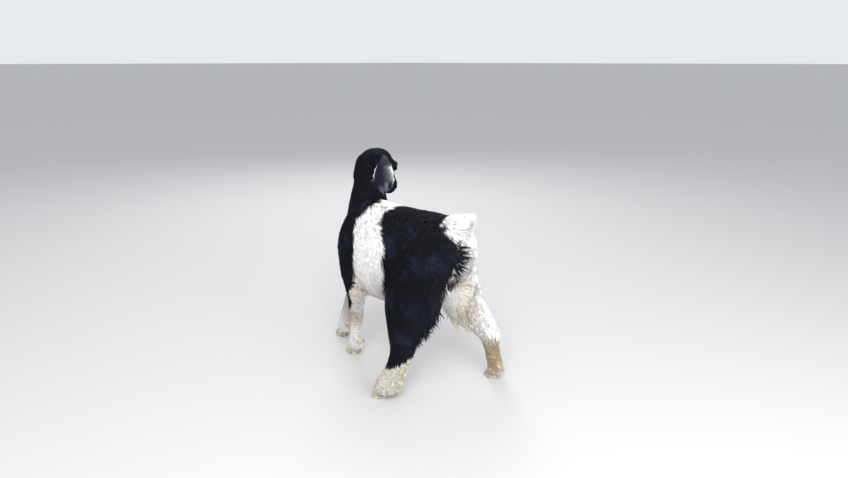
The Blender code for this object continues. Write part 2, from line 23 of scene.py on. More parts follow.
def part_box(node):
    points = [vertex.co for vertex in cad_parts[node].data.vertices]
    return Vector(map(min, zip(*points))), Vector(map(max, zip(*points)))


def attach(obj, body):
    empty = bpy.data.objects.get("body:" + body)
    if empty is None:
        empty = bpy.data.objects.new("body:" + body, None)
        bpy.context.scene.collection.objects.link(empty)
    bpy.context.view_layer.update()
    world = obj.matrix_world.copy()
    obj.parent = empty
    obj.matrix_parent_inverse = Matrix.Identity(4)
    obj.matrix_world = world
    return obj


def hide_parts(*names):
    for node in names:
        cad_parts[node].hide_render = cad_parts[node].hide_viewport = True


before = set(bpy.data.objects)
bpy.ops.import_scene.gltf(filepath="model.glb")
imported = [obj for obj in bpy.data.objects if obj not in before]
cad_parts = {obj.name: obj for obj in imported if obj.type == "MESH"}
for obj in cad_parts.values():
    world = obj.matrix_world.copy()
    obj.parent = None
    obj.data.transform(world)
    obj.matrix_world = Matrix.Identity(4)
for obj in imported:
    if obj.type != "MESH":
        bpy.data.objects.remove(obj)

LOG = logging.getLogger("young_goat")
BODY = "root"
COLOUR_ATTRIBUTE = "coat_colour"
Colour = tuple[float, float, float]         # linear light
Place = tuple[float, float, float]          # a place or a direction


# ---------------------------------------------------------------- small helpers

def srgb(red: int, green: int, blue: int) -> Colour:
    """Return a display colour as linear light.

    Args:
        red: the red step, 0 to 255.
        green: the green step.
        blue: the blue step.

    Returns:
        The three channels, 0 to 1.
    """
    def linear(step: int) -> float:
        """Return one channel's linear value."""
        value = step / 255
        return value / 12.92 if value <= 0.04045 else ((value + 0.055) / 1.055) ** 2.4
    return linear(red), linear(green), linear(blue)


def ease(low: float, high: float, values: np.ndarray) -> np.ndarray:
    """Return values eased from 0 at low to 1 at high.

    Args:
        low: where the result leaves 0.
        high: where it reaches 1; it may lie below low.
        values: the numbers to ease.

    Returns:
        The eased numbers, each between 0 and 1.
    """
    share = np.clip((values - low) / (high - low), 0, 1)
    return share * share * (3 - 2 * share)


def ripple(points: np.ndarray, size: float, seed: int) -> np.ndarray:
    """Return a smooth random field between about -1 and 1.

    Args:
        points: n places in metres.
        size: how far apart its lumps are, in metres.
        seed: which field it is.

    Returns:
        One number for each place.
    """
    rng = np.random.default_rng(seed)
    total = np.zeros(len(points))
    for _ in range(6):
        direction = rng.normal(size=3)
        direction *= 2 * math.pi / size * rng.uniform(0.6, 1.3) / np.linalg.norm(direction)
        total += np.sin(points @ direction + rng.uniform(0, 2 * math.pi))
    return total / 2.6


def unit(vectors: np.ndarray) -> np.ndarray:
    """Return the vectors, one a row, at length 1."""
    return vectors / np.maximum(np.linalg.norm(vectors, axis=-1, keepdims=True), 1e-9)


def along_surface(vectors: np.ndarray, normals: np.ndarray) -> np.ndarray:
    """Return the vectors laid down on the surface and brought to length 1."""
    return unit(vectors - normals * (vectors * normals).sum(-1, keepdims=True))


def paleness(colours: np.ndarray) -> np.ndarray:
    """Return how pale each colour is, 0 for dark hair and 1 for pale hair."""
    return ease(0.02, 0.30, colours.mean(1))


def add_object(name: str, mesh: bpy.types.Mesh) -> bpy.types.Object:
    """Put a mesh into the scene as the only selected and active object.

    Args:
        name: the object's name.
        mesh: its mesh.

    Returns:
        The new object.
    """
    bpy.ops.object.select_all(action="DESELECT")
    obj = bpy.data.objects.new(name, mesh)
    bpy.context.collection.objects.link(obj)
    obj.select_set(True)
    bpy.context.view_layer.objects.active = obj
    return obj


def merged_copy(node: str) -> bpy.types.Mesh:
    """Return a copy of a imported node's mesh with its loose triangles joined.

    Args:
        node: the node's name.

    Returns:
        The new mesh.
    """
    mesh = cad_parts[node].data.copy()
    mesh.materials.clear()
    bm = bmesh.new()
    bm.from_mesh(mesh)
    bmesh.ops.remove_doubles(bm, verts=bm.verts, dist=1e-5)
    bm.to_mesh(mesh)
    bm.free()
    return mesh


def shade_smooth(mesh: bpy.types.Mesh) -> None:
    """Shade every face of a mesh smoothly."""
    mesh.polygons.foreach_set("use_smooth", np.ones(len(mesh.polygons), bool))


# ---------------------------------------------------------------- how the animal stands

@dataclass(frozen=True)
class Stance:
    """The animal's own measures: forward, left and height, from the middle of its feet."""

    poll: Place = (0.196, -0.127, 0.632)
    head_turn: float = -66.0
    head_pitch: float = 36.0
    eye: Place = (0.0382, -0.070, -0.021)        # side, along, rise in the head's frame
    ear_root: Place = (0.034, 0.006, -0.040)
    shift: Vector = Vector((0, 0, 0))

    @staticmethod
    def standing() -> "Stance":
        """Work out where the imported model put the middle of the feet, from its eyes.

        Returns:
            The stance.
        """
        plain = Stance()
        middle = Vector((0, 0, 0))
        for node in ("eye_left", "eye_right"):
            low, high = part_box(node)
            middle += (low + high) / 4
        _, along, rise = plain.eye
        shift = middle - plain.head() @ Vector((0, along, rise))
        shift.z = 0
        return Stance(shift=shift)

    def place(self, forward: float, left: float, height: float) -> Vector:
        """Return a point given in the animal's own measures."""
        return Vector((left, -forward, height)) + self.shift

    def heading(self) -> Matrix:
        """Return the turn of the head about the upright axis."""
        return Matrix.Rotation(math.radians(self.head_turn), 4, "Z")

    def head(self) -> Matrix:
        """Return the matrix from the head's frame, nose to -Y and poll at 0, to its place."""
        pitch = Matrix.Rotation(math.radians(self.head_pitch), 4, "X")
        return Matrix.Translation(self.place(*self.poll)) @ self.heading() @ pitch

    def measures(self, points: np.ndarray) -> tuple[np.ndarray, np.ndarray, np.ndarray]:
        """Return how far forward, left and up each point is."""
        return self.shift.y - points[:, 1], points[:, 0] - self.shift.x, points[:, 2]

    def in_head(self, points: np.ndarray) -> np.ndarray:
        """Return points in the head's frame."""
        matrix = np.array(self.head().inverted())
        return points @ matrix[:3, :3].T + matrix[:3, 3]


@dataclass(frozen=True)
class EarFrame:
    """The line, width and open side of one hanging ear."""

    side: int
    sweep: float        # degrees back from square to the head that the ear stands out
    turn: float         # degrees back that its open side faces
    reach: float        # how far out it stands, as a share of its rows
    # down, outward, half width, depth of the cup
    rows: tuple = ((-0.004, -0.016, 0.012, 0.000), (0.000, 0.020, 0.020, 0.007),
                   (0.012, 0.033, 0.029, 0.012), (0.031, 0.040, 0.037, 0.015),
                   (0.050, 0.045, 0.0385, 0.015), (0.067, 0.048, 0.031, 0.010),
                   (0.081, 0.050, 0.019, 0.005), (0.090, 0.051, 0.006, 0.001))

    def level(self, stance: Stance, degrees: float) -> Vector:
        """Return the level direction out of the skull, turned back.

        Args:
            stance: how the animal stands.
            degrees: the turn.

        Returns:
            The direction.
        """
        angle = math.radians(degrees)
        outward = Vector((self.side * math.cos(angle), math.sin(angle), 0))
        return stance.heading().to_3x3() @ outward

    def measures(self, stance: Stance, points: np.ndarray) -> tuple[np.ndarray, ...]:
        """Return where points lie on the ear.

        Args:
            stance: how the animal stands.
            points: places in metres.

        Returns:
            Across (-1 to 1 from edge to edge), down (0 to 1) and how far in front of the
            leaf's middle, towards its open side, in metres.
        """
        side, along, rise = stance.ear_root
        root = np.array(stance.head() @ Vector((self.side * side, along, rise)))
        outward = np.array(self.level(stance, self.sweep)) * self.reach
        facing = np.array(self.level(stance, self.turn))
        across = np.cross(facing, (0, 0, -1))
        down = root[2] - points[:, 2]
        table = np.array(self.rows)
        middle = root + outward * np.interp(down, table[:, 0], table[:, 1])[:, None]
        offset = points - middle
        aside = offset @ across / np.interp(down, table[:, 0], table[:, 2])
        leaf = np.interp(down, table[:, 0], table[:, 3]) * aside ** 2
        return aside, down / table[-1, 0], offset @ facing - leaf


EARS = {"ear_left": EarFrame(1, 10.0, 22.0, 0.45), "ear_right": EarFrame(-1, 63.0, 84.0, 1.48)}


# ---------------------------------------------------------------- markings

@dataclass(frozen=True)
class Tint:
    """A soft patch of another colour: its middle in the animal's measures and its size."""

    middle: Place
    radius: float
    colour: Colour
    strength: float


@dataclass(frozen=True)
class Markings:
    """The black and white pattern that the skin and the coat share."""

    stance: Stance
    black: Colour = (0.0056, 0.0058, 0.0100)
    # painted sheen: the lighter blue laid in patches over the black hair where it catches the light
    painted_sheen_blue: Colour = (0.014, 0.017, 0.034)
    white: Colour = (0.935, 0.925, 0.91)
    raggedness: float = 0.0045
    edge_blur: float = 0.0012
    side_change: tuple[float, float] = (0.010, -0.022)     # from the left pattern to the right
    # the rear edge of the black neck and breast, as height and forward
    neck_edge_left: tuple = ((0.135, 0.450), (0.165, 0.150), (0.180, 0.118), (0.205, 0.108),
                             (0.260, 0.102), (0.371, 0.084), (0.422, 0.088), (0.468, 0.100),
                             (0.493, 0.076), (0.508, 0.070), (0.516, 0.082), (0.526, 0.092))
    neck_edge_right: tuple = ((0.215, 0.300), (0.240, 0.120), (0.270, 0.100), (0.370, 0.080),
                              (0.450, 0.075), (0.508, 0.072), (0.516, 0.082), (0.526, 0.092))
    # the front edge of the black saddle, as height and forward
    saddle_front: tuple = ((0.200, 0.012), (0.227, 0.003), (0.290, -0.028), (0.355, -0.053),
                           (0.415, -0.054), (0.449, -0.014), (0.472, 0.002), (0.502, 0.010))
    # the black rump's edge towards the white one, as height and left
    rump_edge: tuple = ((0.100, 0.050), (0.200, 0.050), (0.260, 0.052), (0.300, 0.052),
                        (0.330, 0.048), (0.350, 0.044), (0.391, 0.034), (0.427, 0.032),
                        (0.445, 0.029), (0.465, 0.037), (0.486, 0.031), (0.499, 0.010),
                        (0.508, 0.070))
    saddle_rear: float = -0.188
    saddle_right_front: float = 0.010
    tail_middle: Place = (-0.254, -0.012, 0.492)
    tail_radius: float = 0.056
    saddle_right_hem: float = 0.430
    sock_height: float = 0.097
    sock_rise: float = 0.62
    sock_front: float = -0.139
    tints: tuple = (
        Tint((-0.274, 0.002, 0.335), 0.042, srgb(92, 78, 72), 0.85),       # under the tail
        Tint((-0.240, -0.030, 0.300), 0.050, srgb(226, 212, 200), 0.60),   # inner thigh
        Tint((-0.225, -0.060, 0.235), 0.055, srgb(228, 212, 192), 0.60),   # inner shank
        Tint((-0.288, -0.128, 0.085), 0.078, srgb(180, 158, 120), 0.88),   # hind cannon
        Tint((0.128, 0.046, 0.150), 0.042, srgb(190, 170, 144), 0.65),     # knee
        Tint((0.088, 0.090, 0.245), 0.036, srgb(228, 208, 188), 0.45),     # elbow
        Tint((0.240, -0.045, 0.150), 0.090, srgb(196, 190, 168), 0.70),    # far foreleg
        Tint((-0.020, 0.030, 0.225), 0.090, srgb(240, 220, 208), 0.45),    # belly
        Tint((-0.165, 0.112, 0.085), 0.040, srgb(208, 200, 164), 0.70),    # back of the sock
        Tint((-0.125, 0.130, 0.050), 0.085, srgb(204, 198, 178), 0.68),    # sock
    )
    dirt: Colour = srgb(150, 136, 112)
    dirt_height: float = 0.050

    def blackness(self, points: np.ndarray) -> np.ndarray:
        """Return where the hair is black.

        Args:
            points: places in metres.

        Returns:
            1 on black hair and 0 on white, with a narrow step between.
        """
        forward, left, height = self.stance.measures(points)

        def edge(rows: tuple, at: np.ndarray) -> np.ndarray:
            """Return an edge's line at the given heights."""
            table = np.array(rows)
            return np.interp(at, table[:, 0], table[:, 1])

        to_right = ease(*self.side_change, left)
        neck_edge = edge(self.neck_edge_left, height)
        neck_edge += (edge(self.neck_edge_right, height) - neck_edge) * to_right
        front = forward - neck_edge
        over_spine = np.minimum.reduce([forward - self.saddle_rear, height - self.saddle_right_hem,
                                        self.saddle_right_front - forward])
        sock = self.sock_height + np.maximum(0, self.sock_front - forward) * self.sock_rise
        back = np.minimum.reduce([edge(self.saddle_front, height) - forward,
                                  np.maximum(left - edge(self.rump_edge, height), over_spine),
                                  height - sock, self.off_tail(points)])
        ragged = ripple(points, 0.030, 11) * 0.6 + ripple(points, 0.011, 12) * 0.4
        inside = np.maximum(front, back) + ragged * self.raggedness
        return ease(-self.edge_blur, self.edge_blur, inside)

    def off_tail(self, points: np.ndarray) -> np.ndarray:
        """Return how far outside the white tail each point lies."""
        middle = np.array(self.stance.place(*self.tail_middle))
        return np.linalg.norm(points - middle, axis=1) - self.tail_radius

    def colours(self, points: np.ndarray) -> np.ndarray:
        """Return the coat's colour at each point, with painted sheen in lighter, bluish patches on
        the black hair.

        Args:
            points: places in metres.

        Returns:
            Rows of linear light.
        """
        _, _, height = self.stance.measures(points)
        # painted sheen: where the black hair takes the lighter blue
        sheen = ease(0.0, 1.3, ripple(points, 0.075, 21) + 0.5 * ripple(points, 0.025, 22))
        dark = np.outer(1 - sheen, self.black) + np.outer(sheen, self.painted_sheen_blue)
        pale = np.tile(self.white, (len(points), 1))
        for tint in self.tints:
            distance = np.linalg.norm(points - np.array(self.stance.place(*tint.middle)), axis=1)
            share = ease(tint.radius * 1.25, tint.radius * 0.35, distance) * tint.strength
            pale += (np.array(tint.colour) - pale) * share[:, None]
        dirty = ease(self.dirt_height, 0.0, height) * (0.55 + 0.35 * ripple(points, 0.02, 23))
        pale += (np.array(self.dirt) - pale) * np.clip(dirty, 0, 1)[:, None]
        black = self.blackness(points)[:, None]
        return pale + (dark - pale) * black


@dataclass(frozen=True)
class EarMarkings:
    """The pale rim, grey inner hair and dark hollow of the right ear."""

    rim: Colour = (0.92, 0.91, 0.93)
    grey: Colour = (0.17, 0.19, 0.22)
    lilac: Colour = (0.22, 0.20, 0.29)
    hollow: Colour = (0.016, 0.016, 0.030)

    def paint(self, name: str, stance: Stance, points: np.ndarray,
              colours: np.ndarray) -> np.ndarray:
        """Return the colours with the ear's own markings laid over them.

        Args:
            name: the ear's node.
            stance: how the animal stands.
            points: places on that ear.
            colours: the coat's colours there.

        Returns:
            The new colours.
        """
        if name != "ear_right":
            return colours
        across, down, open_way = EARS[name].measures(stance, points)
        inside = ease(-0.001, 0.001, open_way)
        streaks = 0.75 + 0.35 * ripple(points, 0.006, 51)
        root = 0.12 + 0.88 * ease(0.0, 0.12, down)
        shares = [
            (self.hollow, inside),
            # grey hair that grows paler towards the front edge
            (self.grey, inside * ease(-0.25, 0.60, across) * ease(0.66, 0.44, down)
             * streaks * (0.45 + 0.55 * root)),
            (self.rim, inside * ease(0.35, 0.85, across) * ease(0.60, 0.44, down) * 0.62
             * streaks * root),
            # lilac skin between the folds, partly a painted highlight where the folds catch the
            # light
            (self.lilac, inside * ease(0.34, 0.22, np.abs(across + 0.34))
             * ease(0.66, 0.76, down) * ease(0.97, 0.90, down) * 0.8 * streaks),
            (self.lilac, inside * ease(0.26, 0.16, np.abs(across - 0.20)) * ease(0.54, 0.62, down)),
            # the rear and front rims, and the dark root
            (self.rim, ease(0.78, 0.88, -across) * ease(1.12, 1.04, -across)
             * ease(0.56, 0.42, down) * root),
            (self.rim, ease(0.80, 0.92, across) * ease(0.72, 0.62, down) * 0.85 * root),
            (self.hollow, ease(0.06, 0.0, down) * 0.80),
        ]
        for colour, share in shares:
            colours = colours + (np.array(colour) - colours) * share[:, None]
        return colours


# ---------------------------------------------------------------- the coat's regions

class Region(Enum):
    """The parts of the body whose hair differs."""

    HEAD = "head"
    EAR = "ear"
    NECK = "neck"
    TRUNK = "trunk"
    TAIL = "tail"
    FOREARM = "forearm"
    THIGH = "thigh"
    SHANK = "shank"
    CANNON = "cannon"
    FOOT = "foot"
    CLAW = "claw"
    EYE = "eye"

    @staticmethod
    def of(node: str) -> "Region":
        """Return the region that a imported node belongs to."""
        return next(region for region in reversed(Region) if region.value in node)


@dataclass(frozen=True)
class Lie:
    """How hair grows in a region, in metres; its flow is forward, left, up."""

    depth: float                # from the skin out to the coat's outline
    length: float
    width: float
    spacing: float
    flow: Place
    clump: float = 0.35         # how far the tips of neighbours are drawn together
    mess: float = 0.12          # how unlike the flow a tuft lies
    droop: float = 0.0


DOWN = (0.0, 0.0, -1.0)
SET_APART = (0.0, 0.0, 0.0)      # the coat's ground has a flow of its own there
LIES = {
    Region.HEAD: Lie(0.0025, 0.0100, 0.0015, 0.00160, SET_APART, clump=0.12, mess=0.10),
    Region.EAR: Lie(0.0015, 0.0095, 0.0014, 0.00165, DOWN, clump=0.15, mess=0.14),
    Region.NECK: Lie(0.0080, 0.0260, 0.0020, 0.00230, (-0.50, 0.42, -0.86)),
    Region.TRUNK: Lie(0.0110, 0.0340, 0.0021, 0.00245, (-0.85, 0.0, -0.55), clump=0.40),
    Region.TAIL: Lie(0.0120, 0.0330, 0.0020, 0.00220, (-0.70, 0.0, 0.55), mess=0.30, droop=0.3),
    Region.FOREARM: Lie(0.0060, 0.0180, 0.0017, 0.00210, DOWN),
    Region.THIGH: Lie(0.0110, 0.0340, 0.0021, 0.00240, (-0.40, 0.0, -0.92), clump=0.42),
    Region.SHANK: Lie(0.0080, 0.0260, 0.0020, 0.00225, (-0.18, 0.0, -1.0), clump=0.40),
    Region.CANNON: Lie(0.0045, 0.0140, 0.0016, 0.00195, DOWN),
    Region.FOOT: Lie(0.0040, 0.0120, 0.0015, 0.00185, DOWN, mess=0.16),
    Region.CLAW: Lie(0.0040, 0.0080, 0.0014, 0.00200, DOWN),
    Region.EYE: Lie(0.0022, 0.0050, 0.0011, 0.00150, SET_APART, clump=0.05, mess=0.10),
}
REGIONS = list(Region)


def lie_values(name: str) -> np.ndarray:
    """Return one measure of the hair for every region, in order."""
    return np.array([getattr(LIES[region], name) for region in REGIONS], float)


# ---------------------------------------------------------------- materials

class NodeGraph:
    """Short ways to add and join the nodes of one material."""

    def __init__(self, name: str) -> None:
        """Start an empty material with a Principled shader."""
        self.material = bpy.data.materials.new(name)
        self.material.use_nodes = True
        self.tree = self.material.node_tree
        self.shader = self.tree.nodes["Principled BSDF"]

    def add(self, kind: str, **settings: object) -> bpy.types.Node:
        """Add a node.

        Args:
            kind: the node's type.
            settings: its properties, or the defaults of its named inputs.

        Returns:
            The new node.
        """
        node = self.tree.nodes.new(kind)
        for key, value in settings.items():
            if hasattr(node, key):
                setattr(node, key, value)
            else:
                node.inputs[key.replace("_", " ").title()].default_value = value
        return node

    def join(self, source: bpy.types.NodeSocket, target: bpy.types.NodeSocket) -> None:
        """Link one socket to another."""
        self.tree.links.new(source, target)

    def object_place(self) -> bpy.types.NodeSocket:
        """Return the place on the object, in metres."""
        return self.add("ShaderNodeTexCoord").outputs["Object"]

    def noise(self, scale: float, detail: float = 3.0) -> bpy.types.NodeSocket:
        """Add a noise pattern in the object's own space.

        Args:
            scale: how many lumps there are in a metre.
            detail: how many finer patterns lie over it.

        Returns:
            The socket with the pattern.
        """
        node = self.add("ShaderNodeTexNoise", Scale=scale, Detail=detail)
        self.join(self.object_place(), node.inputs["Vector"])
        return node.outputs["Fac"]

    def between(self, low: float, high: float, share: bpy.types.NodeSocket) -> bpy.types.NodeSocket:
        """Spread a share over a range.

        Args:
            low: the number where the share is 0.
            high: the number where it is 1.
            share: the socket that gives the share.

        Returns:
            The socket with the number.
        """
        node = self.add("ShaderNodeMapRange")
        node.inputs["To Min"].default_value = low
        node.inputs["To Max"].default_value = high
        self.join(share, node.inputs["Value"])
        return node.outputs["Result"]

    def bump(self, height: bpy.types.NodeSocket, strength: float, distance: float) -> None:
        """Give the surface small relief.

        Args:
            height: the socket with the pattern.
            strength: how much of the relief is felt.
            distance: its height in metres.
        """
        node = self.add("ShaderNodeBump", Strength=strength, Distance=distance)
        self.join(height, node.inputs["Height"])
        self.join(node.outputs["Normal"], self.shader.inputs["Normal"])

    def paint(self, low: float, high: float, mottle: bpy.types.NodeSocket) -> None:
        """Colour the surface by the piece's own attribute, darker and lighter by a pattern.

        Args:
            low: the darkest multiple of the colour.
            high: the lightest.
            mottle: the socket with the pattern.
        """
        colour = self.add("ShaderNodeAttribute", attribute_name=COLOUR_ATTRIBUTE)
        mix = self.add("ShaderNodeVectorMath", operation="SCALE")
        self.join(colour.outputs["Color"], mix.inputs[0])
        self.join(self.between(low, high, mottle), mix.inputs["Scale"])
        self.join(mix.outputs["Vector"], self.shader.inputs["Base Color"])


@dataclass(frozen=True)
class HairFinish:
    """Dull to silky hair that takes its colour from the piece's own attribute."""

    name: str
    roughness: float = 0.58
    specular: float = 0.15
    sheen: float = 0.03
    sheen_roughness: float = 0.45
    sheen_tint: Colour = (0.45, 0.55, 0.90)
    grain: float = 900.0
    contrast: float = 0.16
    relief: float = 0.0004

    def make(self) -> bpy.types.Material:
        """Make the finish.

        Returns:
            The material.
        """
        graph = NodeGraph(self.name)
        shader = graph.shader
        graph.paint(1 - self.contrast, 1 + self.contrast * 0.6, graph.noise(self.grain, 2.0))
        rough = graph.between(self.roughness - 0.10, self.roughness + 0.12, graph.noise(60.0))
        graph.join(rough, shader.inputs["Roughness"])
        shader.inputs["Specular IOR Level"].default_value = self.specular
        shader.inputs["Sheen Weight"].default_value = self.sheen
        shader.inputs["Sheen Roughness"].default_value = self.sheen_roughness
        shader.inputs["Sheen Tint"].default_value = (*self.sheen_tint, 1)
        graph.bump(graph.noise(self.grain * 1.6, 2.0), 0.35, self.relief)
        return graph.material


@dataclass(frozen=True)
class HornFinish:
    """Dull claw horn with fine growth rings."""

    name: str = "claw_horn"
    dark: Colour = srgb(128, 116, 98)
    pale: Colour = srgb(212, 204, 186)
    roughness: float = 0.55
    rings: float = 55.0
    ring_height: float = 0.0005

    def make(self) -> bpy.types.Material:
        """Make the finish.

        Returns:
            The material.
        """
        graph = NodeGraph(self.name)
        shader = graph.shader
        rings = graph.add("ShaderNodeTexWave", bands_direction="Z", Scale=self.rings,
                          Distortion=3.0, Detail=2.0)
        graph.join(graph.object_place(), rings.inputs["Vector"])
        ramp = graph.add("ShaderNodeValToRGB")
        ramp.color_ramp.elements[0].color = (*self.dark, 1)
        ramp.color_ramp.elements[1].color = (*self.pale, 1)
        ramp.color_ramp.elements[0].position = 0.30
        ramp.color_ramp.elements[1].position = 0.85
        graph.join(graph.noise(90.0, 5.0), ramp.inputs["Fac"])
        graph.join(ramp.outputs["Color"], shader.inputs["Base Color"])
        graph.join(graph.between(self.roughness - 0.12, self.roughness + 0.15, graph.noise(160.0)),
                   shader.inputs["Roughness"])
        graph.bump(rings.outputs["Fac"], 0.25, self.ring_height)
        return graph.material


@dataclass(frozen=True)
class EyeFinish:
    """A wet amber eye, painted by the piece's own attribute."""

    name: str
    roughness: float = 0.06
    tear: float = 0.8               # how wet the eye is
    tear_roughness: float = 0.02

    def make(self) -> bpy.types.Material:
        """Make the finish.

        Returns:
            The material.
        """
        graph = NodeGraph(self.name)
        shader = graph.shader
        graph.paint(0.75, 1.2, graph.noise(1500.0, 4.0))
        shader.inputs["Roughness"].default_value = self.roughness
        shader.inputs["Coat Weight"].default_value = self.tear
        shader.inputs["Coat Roughness"].default_value = self.tear_roughness
        return graph.material


@dataclass(frozen=True)
class FloorFinish:
    """A plain, pale, slightly uneven floor."""

    name: str = "studio_floor"
    colour: Colour = (0.52, 0.515, 0.51)

    def make(self) -> bpy.types.Material:
        """Make the finish.

        Returns:
            The material.
        """
        graph = NodeGraph(self.name)
        graph.shader.inputs["Base Color"].default_value = (*self.colour, 1)
        graph.join(graph.between(0.75, 0.9, graph.noise(4.0)), graph.shader.inputs["Roughness"])
        return graph.material


def paint_points(mesh: bpy.types.Mesh, colours: np.ndarray) -> None:
    """Store one linear colour for each point of a mesh.

    Args:
        mesh: the mesh.
        colours: its colours, one a row.
    """
    layer = mesh.color_attributes.new(COLOUR_ATTRIBUTE, "FLOAT_COLOR", "POINT")
    rows = np.ones((len(colours), 4), np.float32)
    rows[:, :3] = np.clip(colours, 0.001, 1)
    layer.data.foreach_set("color", rows.ravel())


# ---------------------------------------------------------------- the skin

class MeshNet:
    """A mesh's points, triangles and edges as arrays."""

    def __init__(self, mesh: bpy.types.Mesh) -> None:
        """Read the mesh.

        Args:
            mesh: a mesh of triangles only.
        """
        self.points = np.empty(len(mesh.vertices) * 3)
        mesh.vertices.foreach_get("co", self.points)
        self.points = self.points.reshape(-1, 3)
        self.edges = np.empty(len(mesh.edges) * 2, np.int64)
        mesh.edges.foreach_get("vertices", self.edges)
        self.edges = self.edges.reshape(-1, 2)
        mesh.calc_loop_triangles()
        self.triangles = np.empty(len(mesh.loop_triangles) * 3, np.int64)
        mesh.loop_triangles.foreach_get("vertices", self.triangles)
        self.triangles = self.triangles.reshape(-1, 3)
        count = len(self.points)
        self.degree = np.maximum(np.bincount(self.edges.ravel(), minlength=count), 1)

    def neighbour_mean(self, values: np.ndarray) -> np.ndarray:
        """Return the mean of each point's neighbours.

        Args:
            values: one number or row for each point.

        Returns:
            The means, in the same shape.
        """
        flat = values.reshape(len(values), -1)
        first, second = self.edges[:, 0], self.edges[:, 1]
        total = np.empty_like(flat)
        for column in range(flat.shape[1]):
            total[:, column] = (
                np.bincount(first, flat[second, column], len(flat))
                + np.bincount(second, flat[first, column], len(flat)))
        return (total / self.degree[:, None]).reshape(values.shape)

    def averaged(self, values: np.ndarray, passes: int) -> np.ndarray:
        """Blur values over the surface.

        Args:
            values: one number or row for each point.
            passes: how often each is drawn halfway to its neighbours' mean.

        Returns:
            The blurred values.
        """
        for _ in range(passes):
            values = values + 0.5 * (self.neighbour_mean(values) - values)
        return values

    def smooth(self, passes: int) -> None:
        """Smooth the points without shrinking the shape.

        Args:
            passes: how often they are drawn in and let out again.
        """
        for _ in range(passes):
            self.points += 0.50 * (self.neighbour_mean(self.points) - self.points)
            self.points -= 0.53 * (self.neighbour_mean(self.points) - self.points)

    def face_areas(self) -> tuple[np.ndarray, np.ndarray]:
        """Measure the triangles.

        Returns:
            Each triangle's unit normal and its area.
        """
        a, b, c = (self.points[self.triangles[:, i]] for i in range(3))
        cross = np.cross(b - a, c - a)
        return unit(cross), np.linalg.norm(cross, axis=1) / 2

    def normals(self) -> np.ndarray:
        """Average the triangles' normals round each point.

        Returns:
            Each point's unit normal.
        """
        faces, areas = self.face_areas()
        total = np.zeros_like(self.points)
        for corner in range(3):
            for axis in range(3):
                total[:, axis] += np.bincount(self.triangles[:, corner], faces[:, axis] * areas,
                                              len(total))
        return unit(total)


FAR_GAP = 90.0          # degrees from the lids' opening, where there are no lids
FAR_OFF = 1.0           # metres from the eye, where none is near


@dataclass
class EyeSocket:
    """The lids round one eye, in the head's frame."""

    side: int
    radius: float = 0.0130
    lid: float = 0.0017            # how far the lids stand over the eyeball
    well: float = 0.0030           # how far the skin sinks behind the eyeball's surface
    bulk: float = 0.0013           # how much wider than the eyeball the skin starts
    half_length: float = 57.0      # degrees of the opening to each corner
    half_height: float = 30.0
    drop: float = 1.0              # degrees that the opening's middle lies under the gaze
    reach: float = 0.030           # how far from the eyeball's middle the lids go
    rim_place: float = 5.0         # degrees outside the opening
    rim_height: float = 0.0007
    crease_place: float = 17.0
    crease_half: float = 3.5
    crease_depth: float = 0.0012
    gaze: Place = (0.95, -0.27, 0.13)

    @property
    def node(self) -> str:
        """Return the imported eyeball's name."""
        return "eye_left" if self.side > 0 else "eye_right"

    def axes(self) -> tuple[np.ndarray, np.ndarray, np.ndarray]:
        """Return the eye's own directions.

        Returns:
            The directions out of the eye, towards its rear corner and up.
        """
        out = unit(np.array((self.gaze[0] * self.side, self.gaze[1], self.gaze[2])))
        back = np.array((0.0, 1.0, 0.18))
        back = unit(back - out * (back @ out))
        up = np.cross(out, back)
        return out, back, up * np.sign(up[2])

    def opening(self, local: np.ndarray, middle: np.ndarray) -> tuple[np.ndarray, ...]:
        """Return how far each point is outside the lids' opening.

        Args:
            local: points in the head's frame.
            middle: the eyeball's middle in the same frame.

        Returns:
            Degrees outside the opening's edge, how far up (degrees), the distance from the
            eyeball's middle, and how much the point faces out of the head.
        """
        out, back, up = self.axes()
        offset = local - middle
        distance = np.linalg.norm(offset, axis=1)
        facing = offset @ out
        along = np.degrees(np.arctan2(offset @ back, facing))
        rise = np.degrees(np.arctan2(offset @ up, facing))
        lean = rise + self.drop
        almond = self.half_height * (1 - np.clip(np.abs(along) / self.half_length, 0, 1) ** 1.8)
        beyond = np.maximum(np.abs(along) - self.half_length, 0)
        outside = np.hypot(np.maximum(np.abs(lean) - almond, 0), beyond)
        inside = np.minimum(almond - np.abs(lean), self.half_length - np.abs(along))
        return np.where(outside > 0, outside, -inside), rise, distance, facing / distance


